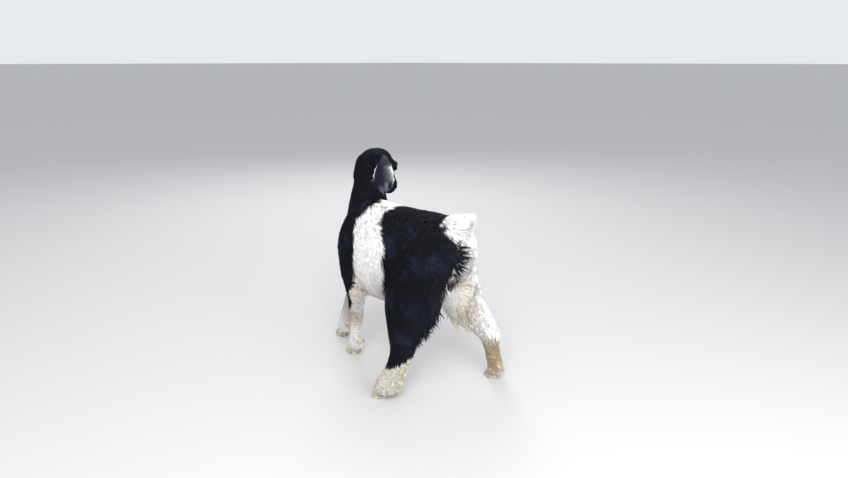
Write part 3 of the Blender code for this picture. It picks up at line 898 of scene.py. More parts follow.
@dataclass(frozen=True)
class Muzzle:
    """The nose and mouth, in metres in the head's frame: to the side, along and up."""

    nostril: tuple[float, float] = (-0.1715, -0.0405)      # its middle, along and up
    nostril_turn: float = 38.0                             # degrees that it points up and back
    nostril_bend: float = 14.0
    nostril_half: tuple[float, float] = (0.0058, 0.0021)
    nostril_inner: float = 0.005                           # the side of its inner end
    nostril_depth: float = 0.0052
    wing_half: tuple[float, float] = (0.0080, 0.0026)
    wing_rise: float = 0.0045
    wing_inner: float = 0.006
    wing_height: float = 0.0012
    draw: float = 0.0016                                   # how far nostril and groove go back
    groove_half: float = 0.0012
    mouth: float = -0.0605
    mouth_bow: float = 10.0
    mouth_front: float = -0.150                            # where its line bends down
    mouth_half: float = 0.0013
    mouth_depth: float = 0.0022
    lip_rise: float = 0.0055
    lip_half: float = 0.0035
    lip_height: float = 0.0012

    def nostrils(self, side: np.ndarray, along: np.ndarray,
                 rise: np.ndarray) -> tuple[np.ndarray, np.ndarray]:
        """Find the nostrils, commas that open to the sides and point up and back.

        Args:
            side: each point's distance from the head's middle plane.
            along: its place along the head.
            rise: its height in the head's frame.

        Returns:
            How much each point lies in a nostril, and on the wing over one.
        """
        turn = math.radians(self.nostril_turn)
        a, r = along - self.nostril[0], rise - self.nostril[1]
        length = a * math.cos(turn) + r * math.sin(turn)
        width = -a * math.sin(turn) + r * math.cos(turn) - self.nostril_bend * length ** 2
        long, wide = self.nostril_half
        hole = np.exp(-(length / long) ** 4 - (width / wide) ** 2) * (side > self.nostril_inner)
        long, wide = self.wing_half
        wing = np.exp(-(length / long) ** 2 - ((width - self.wing_rise) / wide) ** 2)
        return hole, wing * (side > self.wing_inner)

    def groove(self, side: np.ndarray, along: np.ndarray, rise: np.ndarray) -> np.ndarray:
        """Return how much each point lies in the upper lip's groove."""
        groove = np.exp(-(side / self.groove_half) ** 2) * ease(-0.160, -0.170, along)
        return groove * (ease(-0.066, -0.062, rise) * ease(-0.038, -0.044, rise))

    def lips(self, along: np.ndarray, rise: np.ndarray) -> tuple[np.ndarray, np.ndarray]:
        """Find the mouth.

        Args:
            along: each point's place along the head, negative towards the nose.
            rise: its height in the head's frame.

        Returns:
            How much each point lies in the mouth's line, and on the lip over it.
        """
        ahead = along - self.mouth_front
        line = self.mouth - self.mouth_bow * ahead ** 2 * (along > self.mouth_front)
        mouth = np.exp(-((rise - line) / self.mouth_half) ** 2) * ease(-0.118, -0.128, along)
        lip = np.exp(-((rise - line - self.lip_rise) / self.lip_half) ** 2)
        return mouth, lip * ease(-0.120, -0.140, along)

    @staticmethod
    def pad(side: np.ndarray, along: np.ndarray, rise: np.ndarray) -> np.ndarray:
        """Return how much each point lies on the bare pad of the nose."""
        pad = ease(-0.1660, -0.1715, along) * ease(-0.0560, -0.0520, rise)
        return pad * ease(0.0175, 0.0145, side)


@dataclass
class Skin:
    """One closed skin under the coat, with lids, nostrils and mouth."""

    stance: Stance
    markings: Markings
    grain: float = 0.0040
    smoothing: int = 24
    seam_blur: int = 12
    fold_height: float = 0.0028             # of the folds inside the ears
    skin_tone: Colour = (0.97, 0.91, 0.90)  # what the skin takes off the coat's colour
    bare_colour: Colour = (0.0060, 0.0050, 0.0060)
    sockets: tuple = (EyeSocket(1), EyeSocket(-1))
    muzzle: Muzzle = Muzzle()
    obj: bpy.types.Object = field(init=False)
    net: MeshNet = field(init=False)
    # for each point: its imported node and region, the regions' weights and its place before
    # the skin was sunk into the coat
    node: np.ndarray = field(init=False)
    region: np.ndarray = field(init=False)
    weights: np.ndarray = field(init=False)
    outer: np.ndarray = field(init=False)
    coat_colour: np.ndarray = field(init=False)
    # degrees outside the nearest lids' opening, and metres from the nearest eyeball's middle
    lid_gap: np.ndarray = field(init=False)
    eye_distance: np.ndarray = field(init=False)
    nostril: np.ndarray = field(init=False)
    mouth: np.ndarray = field(init=False)
    nose_pad: np.ndarray = field(init=False)

    def build(self) -> None:
        """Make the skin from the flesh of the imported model."""
        self.fuse()
        self.refine()
        self.net = MeshNet(self.obj.data)
        self.net.smooth(self.smoothing)
        self.label()
        self.weigh()
        self.outer = self.net.points.copy()
        self.lid_gap = np.full(len(self.outer), FAR_GAP)
        self.eye_distance = np.full(len(self.outer), FAR_OFF)
        normals = self.net.averaged(self.net.normals(), 6)
        self.net.points -= unit(normals) * self.value("depth")[:, None]
        self.net.points = self.net.averaged(self.net.points, 1)
        self.shape_ears()
        self.shape_muzzle()
        for socket in self.sockets:
            self.shape_lids(socket)
        self.write()

    def fuse(self) -> None:
        """Join copies of every node and remesh them as one closed skin."""
        bm = bmesh.new()
        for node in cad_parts:
            if Region.of(node) is not Region.EYE:
                mesh = merged_copy(node)
                bm.from_mesh(mesh)
                bpy.data.meshes.remove(mesh)
        for socket in self.sockets:
            low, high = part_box(socket.node)
            bmesh.ops.create_uvsphere(bm, u_segments=24, v_segments=16,
                                      radius=socket.radius + socket.bulk,
                                      matrix=Matrix.Translation((low + high) / 2))
        mesh = bpy.data.meshes.new("skin")
        bm.to_mesh(mesh)
        bm.free()
        self.obj = add_object("skin", mesh)
        remesh = self.obj.modifiers.new("fuse", "REMESH")
        remesh.mode = "VOXEL"
        remesh.voxel_size = self.grain
        bpy.ops.object.modifier_apply(modifier=remesh.name)

    def refine(self) -> None:
        """Give the face, and most of all the eyes and nose, smaller faces."""
        side, along, rise = self.stance.eye
        face, nose = ((0, -0.100, -0.040), 0.092), ((0, -0.172, -0.050), 0.030)
        eyes = [((sign * side, along, rise), 0.021) for sign in (-1, 1)]
        matrix = self.stance.head()
        bm = bmesh.new()
        bm.from_mesh(self.obj.data)
        for middle, radius in (face, *eyes, nose):
            centre = matrix @ Vector(middle)
            near = [face for face in bm.faces
                    if (face.calc_center_median() - centre).length < radius]
            edges = list({edge for face in near for edge in face.edges})
            bmesh.ops.subdivide_edges(bm, edges=edges, cuts=1, use_grid_fill=True)
        bmesh.ops.triangulate(bm, faces=bm.faces)
        bm.to_mesh(self.obj.data)
        bm.free()

    def label(self) -> None:
        """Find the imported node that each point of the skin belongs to."""
        points: list[Vector] = []
        faces: list[tuple[int, ...]] = []
        owners: list[int] = []
        self.nodes = list(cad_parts)
        for index, node in enumerate(self.nodes):
            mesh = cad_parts[node].data
            start = len(points)
            points.extend(vertex.co for vertex in mesh.vertices)
            faces.extend(tuple(start + v for v in face.vertices) for face in mesh.polygons)
            owners.extend([index] * len(mesh.polygons))
        tree = BVHTree.FromPolygons(points, faces)
        nearest = [tree.find_nearest(Vector(point))[2] for point in self.net.points]
        self.node = np.array(owners)[nearest]
        kinds = np.array([REGIONS.index(Region.of(node)) for node in self.nodes])
        self.region = kinds[self.node]

    def weigh(self) -> None:
        """Blur the regions into each other, so that no measure steps at a seam."""
        weights = np.eye(len(REGIONS))[self.region]
        self.weights = self.net.averaged(weights, self.seam_blur)
        self.weights /= self.weights.sum(1, keepdims=True)

    def value(self, name: str) -> np.ndarray:
        """Return one measure of the hair at every point."""
        return self.weights @ lie_values(name)

    def weight(self, region: Region) -> np.ndarray:
        """Return how much each point belongs to a region."""
        return self.weights[:, REGIONS.index(region)]

    def shape_ears(self) -> None:
        """Raise the soft lengthwise folds inside the ears."""
        for name, ear in EARS.items():
            mine = np.isin(self.node, [self.nodes.index(name)])
            across, down, open_way = ear.measures(self.stance, self.net.points[mine])
            facing = np.array(ear.level(self.stance, ear.turn))
            fold = np.exp(-((across - 0.22) / 0.13) ** 2) * ease(0.25, 0.55, down)
            fold += 0.6 * np.exp(-((across + 0.35) / 0.12) ** 2) * ease(0.75, 0.4, down)
            inner = ease(-0.001, 0.001, open_way) * ease(1.0, 0.80, np.abs(across))
            self.net.points[mine] += facing * (self.fold_height * fold * inner)[:, None]

    def shape_muzzle(self) -> None:
        """Sink the nostrils, the groove between them and the mouth's line."""
        matrix = np.array(self.stance.head())[:3, :3]
        local = self.stance.in_head(self.net.points)
        side, along, rise = np.abs(local[:, 0]), local[:, 1], local[:, 2]
        out = np.sign(local[:, 0])
        muzzle = self.muzzle
        hole, wing = muzzle.nostrils(side, along, rise)
        mouth, lip = muzzle.lips(along, rise)
        push = np.zeros((len(local), 3))
        push[:, 0] -= out * (muzzle.nostril_depth * hole - muzzle.wing_height * wing)
        push[:, 1] += muzzle.draw * hole
        push[:, 1] += muzzle.draw * muzzle.groove(side, along, rise)
        push[:, 0] -= out * muzzle.mouth_depth * mouth
        push[:, 1] += muzzle.mouth_depth * mouth * ease(-0.160, -0.172, along)
        push[:, 0] += out * muzzle.lip_height * lip
        near = self.weight(Region.HEAD) > 0.5
        self.net.points[near] += (push @ matrix.T)[near]
        self.nostril = hole * near
        self.mouth = mouth * near
        self.nose_pad = muzzle.pad(side, along, rise) * near

    def shape_lids(self, socket: EyeSocket) -> None:
        """Lay the lids over an eyeball and sink the skin behind their opening.

        Args:
            socket: the eye's lids.
        """
        matrix = np.array(self.stance.head())
        local = self.stance.in_head(self.net.points)
        middle = np.array((self.stance.eye[0] * socket.side, *self.stance.eye[1:]))
        outside, rise, distance, facing = socket.opening(local, middle)
        near = (distance < socket.reach) & (facing > -0.1)
        cover = socket.radius + socket.lid
        rim = np.exp(-((outside - socket.rim_place) / socket.rim_place) ** 2)
        crease = np.exp(-((outside - socket.crease_place) / socket.crease_half) ** 2)
        crease *= ease(0.0, 14.0, rise)
        over = np.maximum(distance, cover) + socket.rim_height * rim - socket.crease_depth * crease
        under = socket.radius - socket.well
        share = ease(-3.0, 1.5, outside)
        target = under + (over - under) * share
        target = np.where(near, target, distance)
        local = middle + (local - middle) * (target / distance)[:, None]
        self.net.points = local @ matrix[:3, :3].T + matrix[:3, 3]
        self.lid_gap = np.minimum(self.lid_gap, np.where(near, outside, FAR_GAP))
        self.eye_distance = np.minimum(self.eye_distance, distance)

    def colours(self, points: np.ndarray) -> np.ndarray:
        """Return the coat's colours at the skin's own points.

        Args:
            points: the skin's points, where the coat's outline is.

        Returns:
            Rows of linear light.
        """
        colours = self.markings.colours(points)
        for name in EARS:
            mine = self.node == self.nodes.index(name)
            colours[mine] = EarMarkings().paint(name, self.stance, points[mine], colours[mine])
        return colours

    def write(self) -> None:
        """Store the shaped points and the skin's colours."""
        mesh = self.obj.data
        mesh.vertices.foreach_set("co", self.net.points.ravel().astype(np.float32))
        mesh.update()
        shade_smooth(mesh)
        self.coat_colour = self.colours(self.outer)
        skin = self.coat_colour * np.array(self.skin_tone)
        bare = np.clip(self.nose_pad + self.nostril * 1.5 + self.mouth, 0, 1)
        rim = ease(6.0, 2.0, self.lid_gap)
        bare = np.maximum(bare, rim)[:, None]
        skin += (np.array(self.bare_colour) - skin) * bare
        paint_points(mesh, skin)
        mesh.materials.append(HairFinish("skin_felt", roughness=0.62, contrast=0.25).make())
        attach(self.obj, BODY)
        flesh = [node for node in self.nodes if Region.of(node) not in (Region.CLAW, Region.EYE)]
        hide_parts(*flesh)


# ---------------------------------------------------------------- the coat

@dataclass
class Roots:
    """Where tufts grow and what each is like."""

    places: np.ndarray
    normals: np.ndarray
    flows: np.ndarray
    triangles: np.ndarray
    lengths: np.ndarray
    widths: np.ndarray
    clumps: np.ndarray
    mess: np.ndarray
    droops: np.ndarray
    colours: np.ndarray
    nodes: np.ndarray

    def taken(self, chosen: np.ndarray) -> "Roots":
        """Return only the chosen tufts."""
        return Roots(*(getattr(self, name)[chosen] for name in self.__dataclass_fields__))


class CoatField:
    """The lie of the coat over the skin, and the ground that its tufts follow."""

    HEAD_FLOW = (0.0, 1.0, -0.25)       # from the nose to the poll, in the head's frame
    NOSE = (0.0, -0.178, -0.050)        # its tip in the same frame
    MUZZLE_REACH = 0.060                # how far from the nose the hair gets its length back
    EYE_REACH = (0.014, 0.020)          # where that starts round an eye, and how far it takes
    SPINE = -0.012                      # how far left the hair parts over the back
    SWAY = 0.22                         # how far the flow wanders
    THINNING = 1.02                     # how much wider than its region's spacing the coat stands
    BARE = 0.45                         # the share of its hair under which a place is bare
    CELL = 0.012                        # the size of the cells that roots are sorted in
    LEADERS = 0.055                     # how many of the tufts lead a lock
    LOCK_REACH = (0.020, 0.012)         # how far a leader draws others, from not at all to fully

    def __init__(self, skin: Skin) -> None:
        """Work out the flow, the depth and the tree of the skin's triangles.

        Args:
            skin: the skin that the hair grows from.
        """
        self.skin = skin
        net = skin.net
        self.normals = net.normals()
        self.depth = skin.value("depth")
        self.flow = self.comb()
        self.tree = BVHTree.FromPolygons(net.points.tolist(), net.triangles.tolist())

    def comb(self) -> np.ndarray:
        """Comb the hair.

        Returns:
            The direction that the hair lies in at every point of the skin.
        """
        skin = self.skin
        forward, left, up = lie_values("flow").reshape(len(REGIONS), 3).T
        world = np.stack([left, -forward, up], 1)
        flow = skin.weights @ world
        head = np.array(skin.stance.head())[:3, :3] @ np.array(self.HEAD_FLOW)
        face = skin.weight(Region.HEAD) + skin.weight(Region.EYE)
        flow += face[:, None] * head
        _, lefts, heights = skin.stance.measures(skin.net.points)
        # the hair parts along the spine and leans out over each side
        spine = skin.weight(Region.TRUNK) * ease(0.44, 0.49, heights)
        flow[:, 0] += spine * np.clip((lefts - self.SPINE) / 0.05, -1, 1) * 0.35
        wander = np.stack([ripple(skin.net.points, 0.09, seed) for seed in (31, 32, 33)], 1)
        flow = unit(flow) + wander * self.SWAY * (1 - 0.6 * skin.weight(Region.HEAD))[:, None]
        flow = along_surface(flow, self.normals)
        return along_surface(skin.net.averaged(flow, 6), self.normals)

    def share(self) -> np.ndarray:
        """Work out where the skin is bare.

        Returns:
            How much of its full hair each point carries, 0 where it is bare.
        """
        skin = self.skin
        bare = np.clip(skin.nose_pad * 2 + skin.nostril * 4 + skin.mouth * 1.6, 0, 1)
        bare = np.maximum(bare, ease(5.0, 2.5, skin.lid_gap))
        bare = np.maximum(bare, ease(0.35, 0.60, skin.weight(Region.CLAW)))
        sole = ease(0.0030, 0.0010, skin.net.points[:, 2])
        return 1 - np.maximum(bare, sole)

    def grow(self, seed: int) -> Roots:
        """Spread the roots evenly over the skin.

        Args:
            seed: the seed of the random draws.

        Returns:
            Every root of the coat.
        """
        rng = np.random.default_rng(seed)
        skin = self.skin
        net = skin.net
        triangles = net.triangles
        _, areas = net.face_areas()

        def on_faces(values: np.ndarray) -> np.ndarray:
            """Return the mean of a measure at each triangle's corners."""
            return values[triangles].mean(1)

        share = on_faces(self.share())
        gaps = on_faces(skin.value("spacing")) * self.THINNING
        wanted = areas / gaps ** 2 * (share > self.BARE)
        order = self.reading_order(on_faces(net.points))
        running = np.cumsum(wanted[order])
        count = int(running[-1])
        marks = (np.arange(count) + rng.uniform(0.05, 0.95, count)) * running[-1] / count
        chosen = order[np.searchsorted(running, marks).clip(0, len(order) - 1)]
        first, second = rng.random(count), rng.random(count)
        over = first + second > 1
        first[over], second[over] = 1 - first[over], 1 - second[over]
        corner = np.stack([1 - first - second, first, second], 1)

        def at(values: np.ndarray) -> np.ndarray:
            """Return a measure at each root."""
            return np.einsum("nk,nk...->n...", corner, values[triangles[chosen]])

        nearest = triangles[chosen, corner.argmax(1)]
        lids, reach = self.EYE_REACH
        face = np.clip((at(skin.eye_distance) - lids) / reach, 0, 1)
        from_nose = skin.stance.in_head(at(net.points)) - np.array(self.NOSE)
        muzzle = ease(0.0, self.MUZZLE_REACH, np.linalg.norm(from_nose, axis=1))
        head = at(skin.weight(Region.HEAD) + skin.weight(Region.EYE))
        shorter = 1 - head * (1 - (0.40 + 0.60 * face) * (0.45 + 0.55 * muzzle))
        lengths = at(skin.value("length")) * shorter * (0.4 + 0.6 * at(self.share()))
        return Roots(
            places=at(net.points),
            normals=unit(at(self.normals)),
            flows=at(self.flow),
            triangles=chosen,
            lengths=lengths * rng.uniform(0.75, 1.2, count),
            widths=at(skin.value("width")) * rng.uniform(0.75, 1.25, count) * (0.7 + 0.3 * shorter),
            clumps=at(skin.value("clump")),
            mess=at(skin.value("mess")),
            droops=at(skin.value("droop")),
            colours=skin.coat_colour[nearest],
            nodes=skin.node[nearest])

    def reading_order(self, places: np.ndarray) -> np.ndarray:
        """Return an order that runs through small cells, so that neighbours stay together.

        Args:
            places: the places to put in order.

        Returns:
            Their numbers, in that order.
        """
        cells = np.floor(places / self.CELL).astype(np.int64)
        cells -= cells.min(0)
        rows = (cells[:, 2] * 4096 + cells[:, 1]) * 4096 + cells[:, 0]
        return np.argsort(rows, kind="stable")

    def follow(self, roots: Roots, rings: int, rng: np.random.Generator) -> np.ndarray:
        """Walk each tuft over the skin and lift it to the coat's outline.

        Args:
            roots: the tufts.
            rings: how many rings a tuft has below its tip.
            rng: the random draws.

        Returns:
            The line of each tuft, root first, as an array of n, rings + 1 and 3.
        """
        count = len(roots.places)
        heading = self.wandering(roots, rng)
        lines = np.empty((count, rings + 1, 3))
        rise = np.interp(np.linspace(0, 1, rings + 1), (0, 0.33, 0.66, 1), (-0.08, 0.52, 0.84, 1.0))
        lift = rng.uniform(0.72, 1.06, count)
        ground = roots.places.copy()
        triangle = roots.triangles
        net = self.skin.net
        for step in range(rings + 1):
            trio = net.triangles[triangle]
            normals = unit(self.normals[trio].mean(1))
            depth = self.depth[trio].mean(1)
            lines[:, step] = ground + normals * (depth * rise[step] * lift)[:, None]
            if step < rings:
                heading = along_surface(heading, normals)
                ahead = ground + heading * (roots.lengths / rings)[:, None]
                found = [self.tree.find_nearest(Vector(place)) for place in ahead]
                ground = np.array([hit[0] for hit in found])
                triangle = np.array([hit[2] for hit in found])
        fall = np.linspace(0, 1, rings + 1) ** 2
        lines[:, :, 2] -= (roots.droops * roots.lengths)[:, None] * fall[None, :]
        return lines

    def wandering(self, roots: Roots, rng: np.random.Generator) -> np.ndarray:
        """Give each tuft a direction of its own.

        Args:
            roots: the tufts.
            rng: the random draws.

        Returns:
            Its flow with a little disorder, one row for each tuft.
        """
        across = np.cross(roots.normals, roots.flows)
        lumps = ripple(roots.places, 0.028, 41) * 0.9 + ripple(roots.places, 0.012, 42) * 0.5
        swing = roots.mess * (rng.normal(size=len(across)) + 1.6 * lumps)
        return along_surface(roots.flows + across * swing[:, None], roots.normals)

    def gather(self, roots: Roots, lines: np.ndarray, rng: np.random.Generator) -> np.ndarray:
        """Draw the tips of neighbouring tufts together into locks.

        Args:
            roots: the tufts.
            lines: their lines.
            rng: the random draws.

        Returns:
            The new lines.
        """
        leaders = np.flatnonzero(rng.random(len(lines)) < self.LEADERS)
        if len(leaders) == 0:
            return lines
        tree = KDTree(len(leaders))
        for leader in leaders:
            tree.insert(Vector(roots.places[leader]), int(leader))
        tree.balance()
        mine = np.array([tree.find(Vector(place))[1] for place in roots.places])
        pull = roots.clumps * rng.uniform(0.5, 1.3, len(lines))
        far = np.linalg.norm(roots.places - roots.places[mine], axis=1)
        pull *= ease(*self.LOCK_REACH, far)
        steps = np.linspace(0, 1, lines.shape[1]) ** 1.3
        return lines + (lines[mine] - lines) * (pull[:, None] * steps)[:, :, None]


@dataclass
class TuftMesh:
    """Builds one joined mesh of closed, three-sided, tapered tufts."""

    SIDES = 3
    TAPER = ((0, 0.4, 0.8, 1), (0.75, 1.0, 0.62, 0.3))     # places along, and widths there
    FLATNESS = (0.70, 0.25)         # how far the ridge rises and the edges sink, in half widths

    patch: float = 0.003            # the size of a tuft's place on the piece's map

    def build(self, name: str, lines: np.ndarray, normals: np.ndarray, widths: np.ndarray,
              colours: np.ndarray, chart: np.ndarray) -> bpy.types.Object:
        """Make the mesh.

        Args:
            name: the piece's name.
            lines: each tuft's line, root first, tip last.
            normals: the direction out of the skin at each root.
            widths: each tuft's full width.
            colours: each tuft's colour.
            chart: each root's place on the unwrapped skin, between 0 and 1.

        Returns:
            The new object.
        """
        count, steps, _ = lines.shape
        rings = steps - 1
        ahead = unit(np.gradient(lines, axis=1))
        side = unit(np.cross(ahead, normals[:, None, :]))
        over = np.cross(side, ahead)
        taper = np.interp(np.arange(rings) / rings, *self.TAPER)
        half = widths[:, None, None] * taper[None, :, None] / 2
        middle = lines[:, :rings]
        ridge, sink = self.FLATNESS
        ring = np.stack([
            middle + side[:, :rings] * half - over[:, :rings] * half * sink,
            middle + over[:, :rings] * half * ridge,
            middle - side[:, :rings] * half - over[:, :rings] * half * sink], axis=2)
        body = ring.reshape(count, rings * self.SIDES, 3)
        points = np.concatenate([body, lines[:, rings:]], axis=1)
        each = rings * self.SIDES + 1
        faces = self.faces(rings)
        triangles = (faces[None] + (np.arange(count) * each)[:, None, None]).reshape(-1, 3)
        mesh = self.mesh_of(name, points.reshape(-1, 3), triangles)
        along = np.append(np.repeat(np.arange(rings), self.SIDES), rings) / rings
        # painted shade: dark hair is darker at its root and lighter towards its tip, pale hair is
        # almost even
        pale = paleness(colours)[:, None]
        shade = (0.62 + 0.36 * pale) + (0.50 - 0.46 * pale) * along[None, :]
        paint = colours[:, None, :] * shade[:, :, None]
        paint_points(mesh, paint.reshape(-1, 3))
        self.chart(mesh, chart, rings, triangles)
        obj = add_object(name, mesh)
        shade_smooth(mesh)
        return obj

    def faces(self, rings: int) -> np.ndarray:
        """Work out one tuft's triangles.

        Args:
            rings: how many rings it has below its tip.

        Returns:
            The triangles of its root, its sides and its tip, as its points' numbers.
        """
        sides = self.SIDES
        rows = [(0, 1, 2)]
        for ring in range(rings - 1):
            for k in range(sides):
                a, b = ring * sides + k, ring * sides + (k + 1) % sides
                rows += [(a, a + sides, b), (b, a + sides, b + sides)]
        last, tip = (rings - 1) * sides, rings * sides
        rows += [(last + k, tip, last + (k + 1) % sides) for k in range(sides)]
        return np.array(rows)

    @staticmethod
    def mesh_of(name: str, points: np.ndarray, triangles: np.ndarray) -> bpy.types.Mesh:
        """Make a mesh.

        Args:
            name: its name.
            points: its points.
            triangles: its triangles, as the points' numbers.

        Returns:
            The new mesh.
        """
        mesh = bpy.data.meshes.new(name)
        mesh.vertices.add(len(points))
        mesh.vertices.foreach_set("co", points.astype(np.float32).ravel())
        mesh.loops.add(len(triangles) * 3)
        mesh.loops.foreach_set("vertex_index", triangles.astype(np.int32).ravel())
        mesh.polygons.add(len(triangles))
        mesh.polygons.foreach_set("loop_start", np.arange(len(triangles), dtype=np.int32) * 3)
        mesh.update(calc_edges=True)
        return mesh

    def chart(self, mesh: bpy.types.Mesh, chart: np.ndarray, rings: int,
              triangles: np.ndarray) -> None:
        """Lay every tuft on a small patch at its root's place on the unwrapped skin.

        Args:
            mesh: the mesh of tufts.
            chart: each root's place, between 0 and 1.
            rings: how many rings a tuft has below its tip.
            triangles: the mesh's triangles.
        """
        along = np.append(np.repeat(np.arange(rings), self.SIDES), rings) / rings - 0.5
        across = np.append(np.tile((-0.5, 0.0, 0.5), rings), 0.0)
        along = along + np.append(np.tile((0.0, 0.12, 0.0), rings), 0.0)
        spot = np.stack([across, along], 1) * self.patch
        places = (chart[:, None, :] + spot[None]).reshape(-1, 2)
        layer = mesh.uv_layers.new(name="OFBake")
        layer.data.foreach_set("uv", places[triangles.ravel()].astype(np.float32).ravel())


class Coat:
    """The whole coat, in pieces that each stay small enough."""

    MOST = 19000            # tufts in one piece
    RINGS = 2
    BLACK_BELOW = 0.3       # the mean colour under which a piece counts as black
    FIRST_SEED = 100
    # each part of the body and the axis that its skin is rolled out round
    PARTS = {
        "head": (-0.62, -0.15, -0.77), "ear_left": (0, 0, 1), "ear_right": (0, 0, 1),
        "neck": (-0.35, -0.30, 0.89), "trunk": (0, 1, 0), "tail": (0, 0, 1),
        "foreleg_left": (0, 0, 1), "foreleg_right": (0, 0, 1),
        "hindleg_left": (0, 0, 1), "hindleg_right": (0, 0, 1),
    }

    def __init__(self, skin: Skin) -> None:
        """Comb the skin and make the coat's finish.

        Args:
            skin: the skin that the coat grows from.
        """
        self.skin = skin
        self.field = CoatField(skin)
        self.finish = HairFinish("hair").make()

    def build(self) -> None:
        """Grow the coat part by part."""
        roots = self.field.grow(seed=5)
        LOG.info("%d tufts in all", len(roots.places))
        for number, (part, axis) in enumerate(self.PARTS.items()):
            nodes = [i for i, node in enumerate(self.skin.nodes) if node.startswith(part)]
            if part == "head":
                nodes += [i for i, node in enumerate(self.skin.nodes) if node.startswith("eye")]
            group = roots.taken(np.flatnonzero(np.isin(roots.nodes, nodes)))
            rng = np.random.default_rng(self.FIRST_SEED + number)
            lines = self.field.follow(group, self.RINGS, rng)
            lines = self.field.gather(group, lines, rng)
            tone = 1 + rng.uniform(-0.16, 0.12, len(lines)) * (1 - 0.70 * paleness(group.colours))
            colours = np.minimum(group.colours * tone[:, None], 0.97)
            along = group.places @ np.array(axis)
            order = np.argsort(along, kind="stable")
            pieces = math.ceil(len(order) / self.MOST)
            for k, mine in enumerate(np.array_split(order, pieces)):
                name = f"coat_{part}" + (f"_{k + 1}" if pieces > 1 else "")
                self.add(name, lines[mine], group.taken(mine), colours[mine], axis)

    def add(self, name: str, lines: np.ndarray, roots: Roots, colours: np.ndarray,
            axis: Place) -> None:
        """Make one piece of the coat; pale tufts are thinner.

        Args:
            name: the piece's name.
            lines: its tufts' lines.
            roots: their roots.
            colours: their colours.
            axis: the axis that the skin is rolled out round.
        """
        chart = self.unwrap(roots.places, np.array(axis))
        widths = roots.widths * (1 - 0.22 * ease(0.10, 0.50, colours.mean(1)))
        obj = TuftMesh().build(name, lines, roots.normals, widths, colours, chart)
        self.dress(obj, colours)
        LOG.info("%s: %d tufts, %d triangles", name, len(lines), len(obj.data.polygons))

    def dress(self, obj: bpy.types.Object, colours: np.ndarray) -> None:
        """Give a piece the hair's finish and tell the frame about it.

        Args:
            obj: the piece.
            colours: its tufts' colours; not used.
        """
        obj.data.materials.append(self.finish)
        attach(obj, BODY)

    @staticmethod
    def unwrap(places: np.ndarray, axis: np.ndarray) -> np.ndarray:
        """Roll a part's skin out round an axis.

        Args:
            places: the roots' places.
            axis: the axis.

        Returns:
            Each root's place on the unrolled skin, between 0 and 1.
        """
        places = places - (places.max(0) + places.min(0)) / 2
        first = unit(np.cross(axis, (0.31, 0.0, 0.05) if abs(axis[0]) < 0.5 else (0.0, 0.1, 1.0)))
        second = np.cross(axis, first)
        angle = np.arctan2(places @ second, places @ first) / (2 * math.pi) + 0.5
        length = places @ axis
        length = (length - length.min()) / np.ptp(length)
        return 0.01 + 0.98 * np.stack([angle, length], 1)


@dataclass(frozen=True)
class LockGroup:
    """A stand of long locks that break the coat's outline.

    Its line and heading are forward, left and height, its lengths in metres.
    """

    part: str
    line: tuple                # where the locks grow
    spread: float              # how far off that line they may grow
    count: int
    length: float
    heading: Place
    colour: Colour
    lift: float = 0.35         # how steeply a lock leaves the skin
    droop: float = 0.60        # how much its end turns down
    splay: float = 0.30        # how unlike each other the locks are
    hairs: int = 8
    width: float = 0.0014
    bundle: float = 0.0024     # half width of a lock at its root


BLACK_HAIR = (0.0070, 0.0070, 0.0105)
BROWN_HAIR = srgb(74, 44, 40)
GREY_HAIR = srgb(122, 108, 98)
CREAM_HAIR = srgb(232, 220, 202)
WHITE_HAIR = (0.93, 0.92, 0.90)

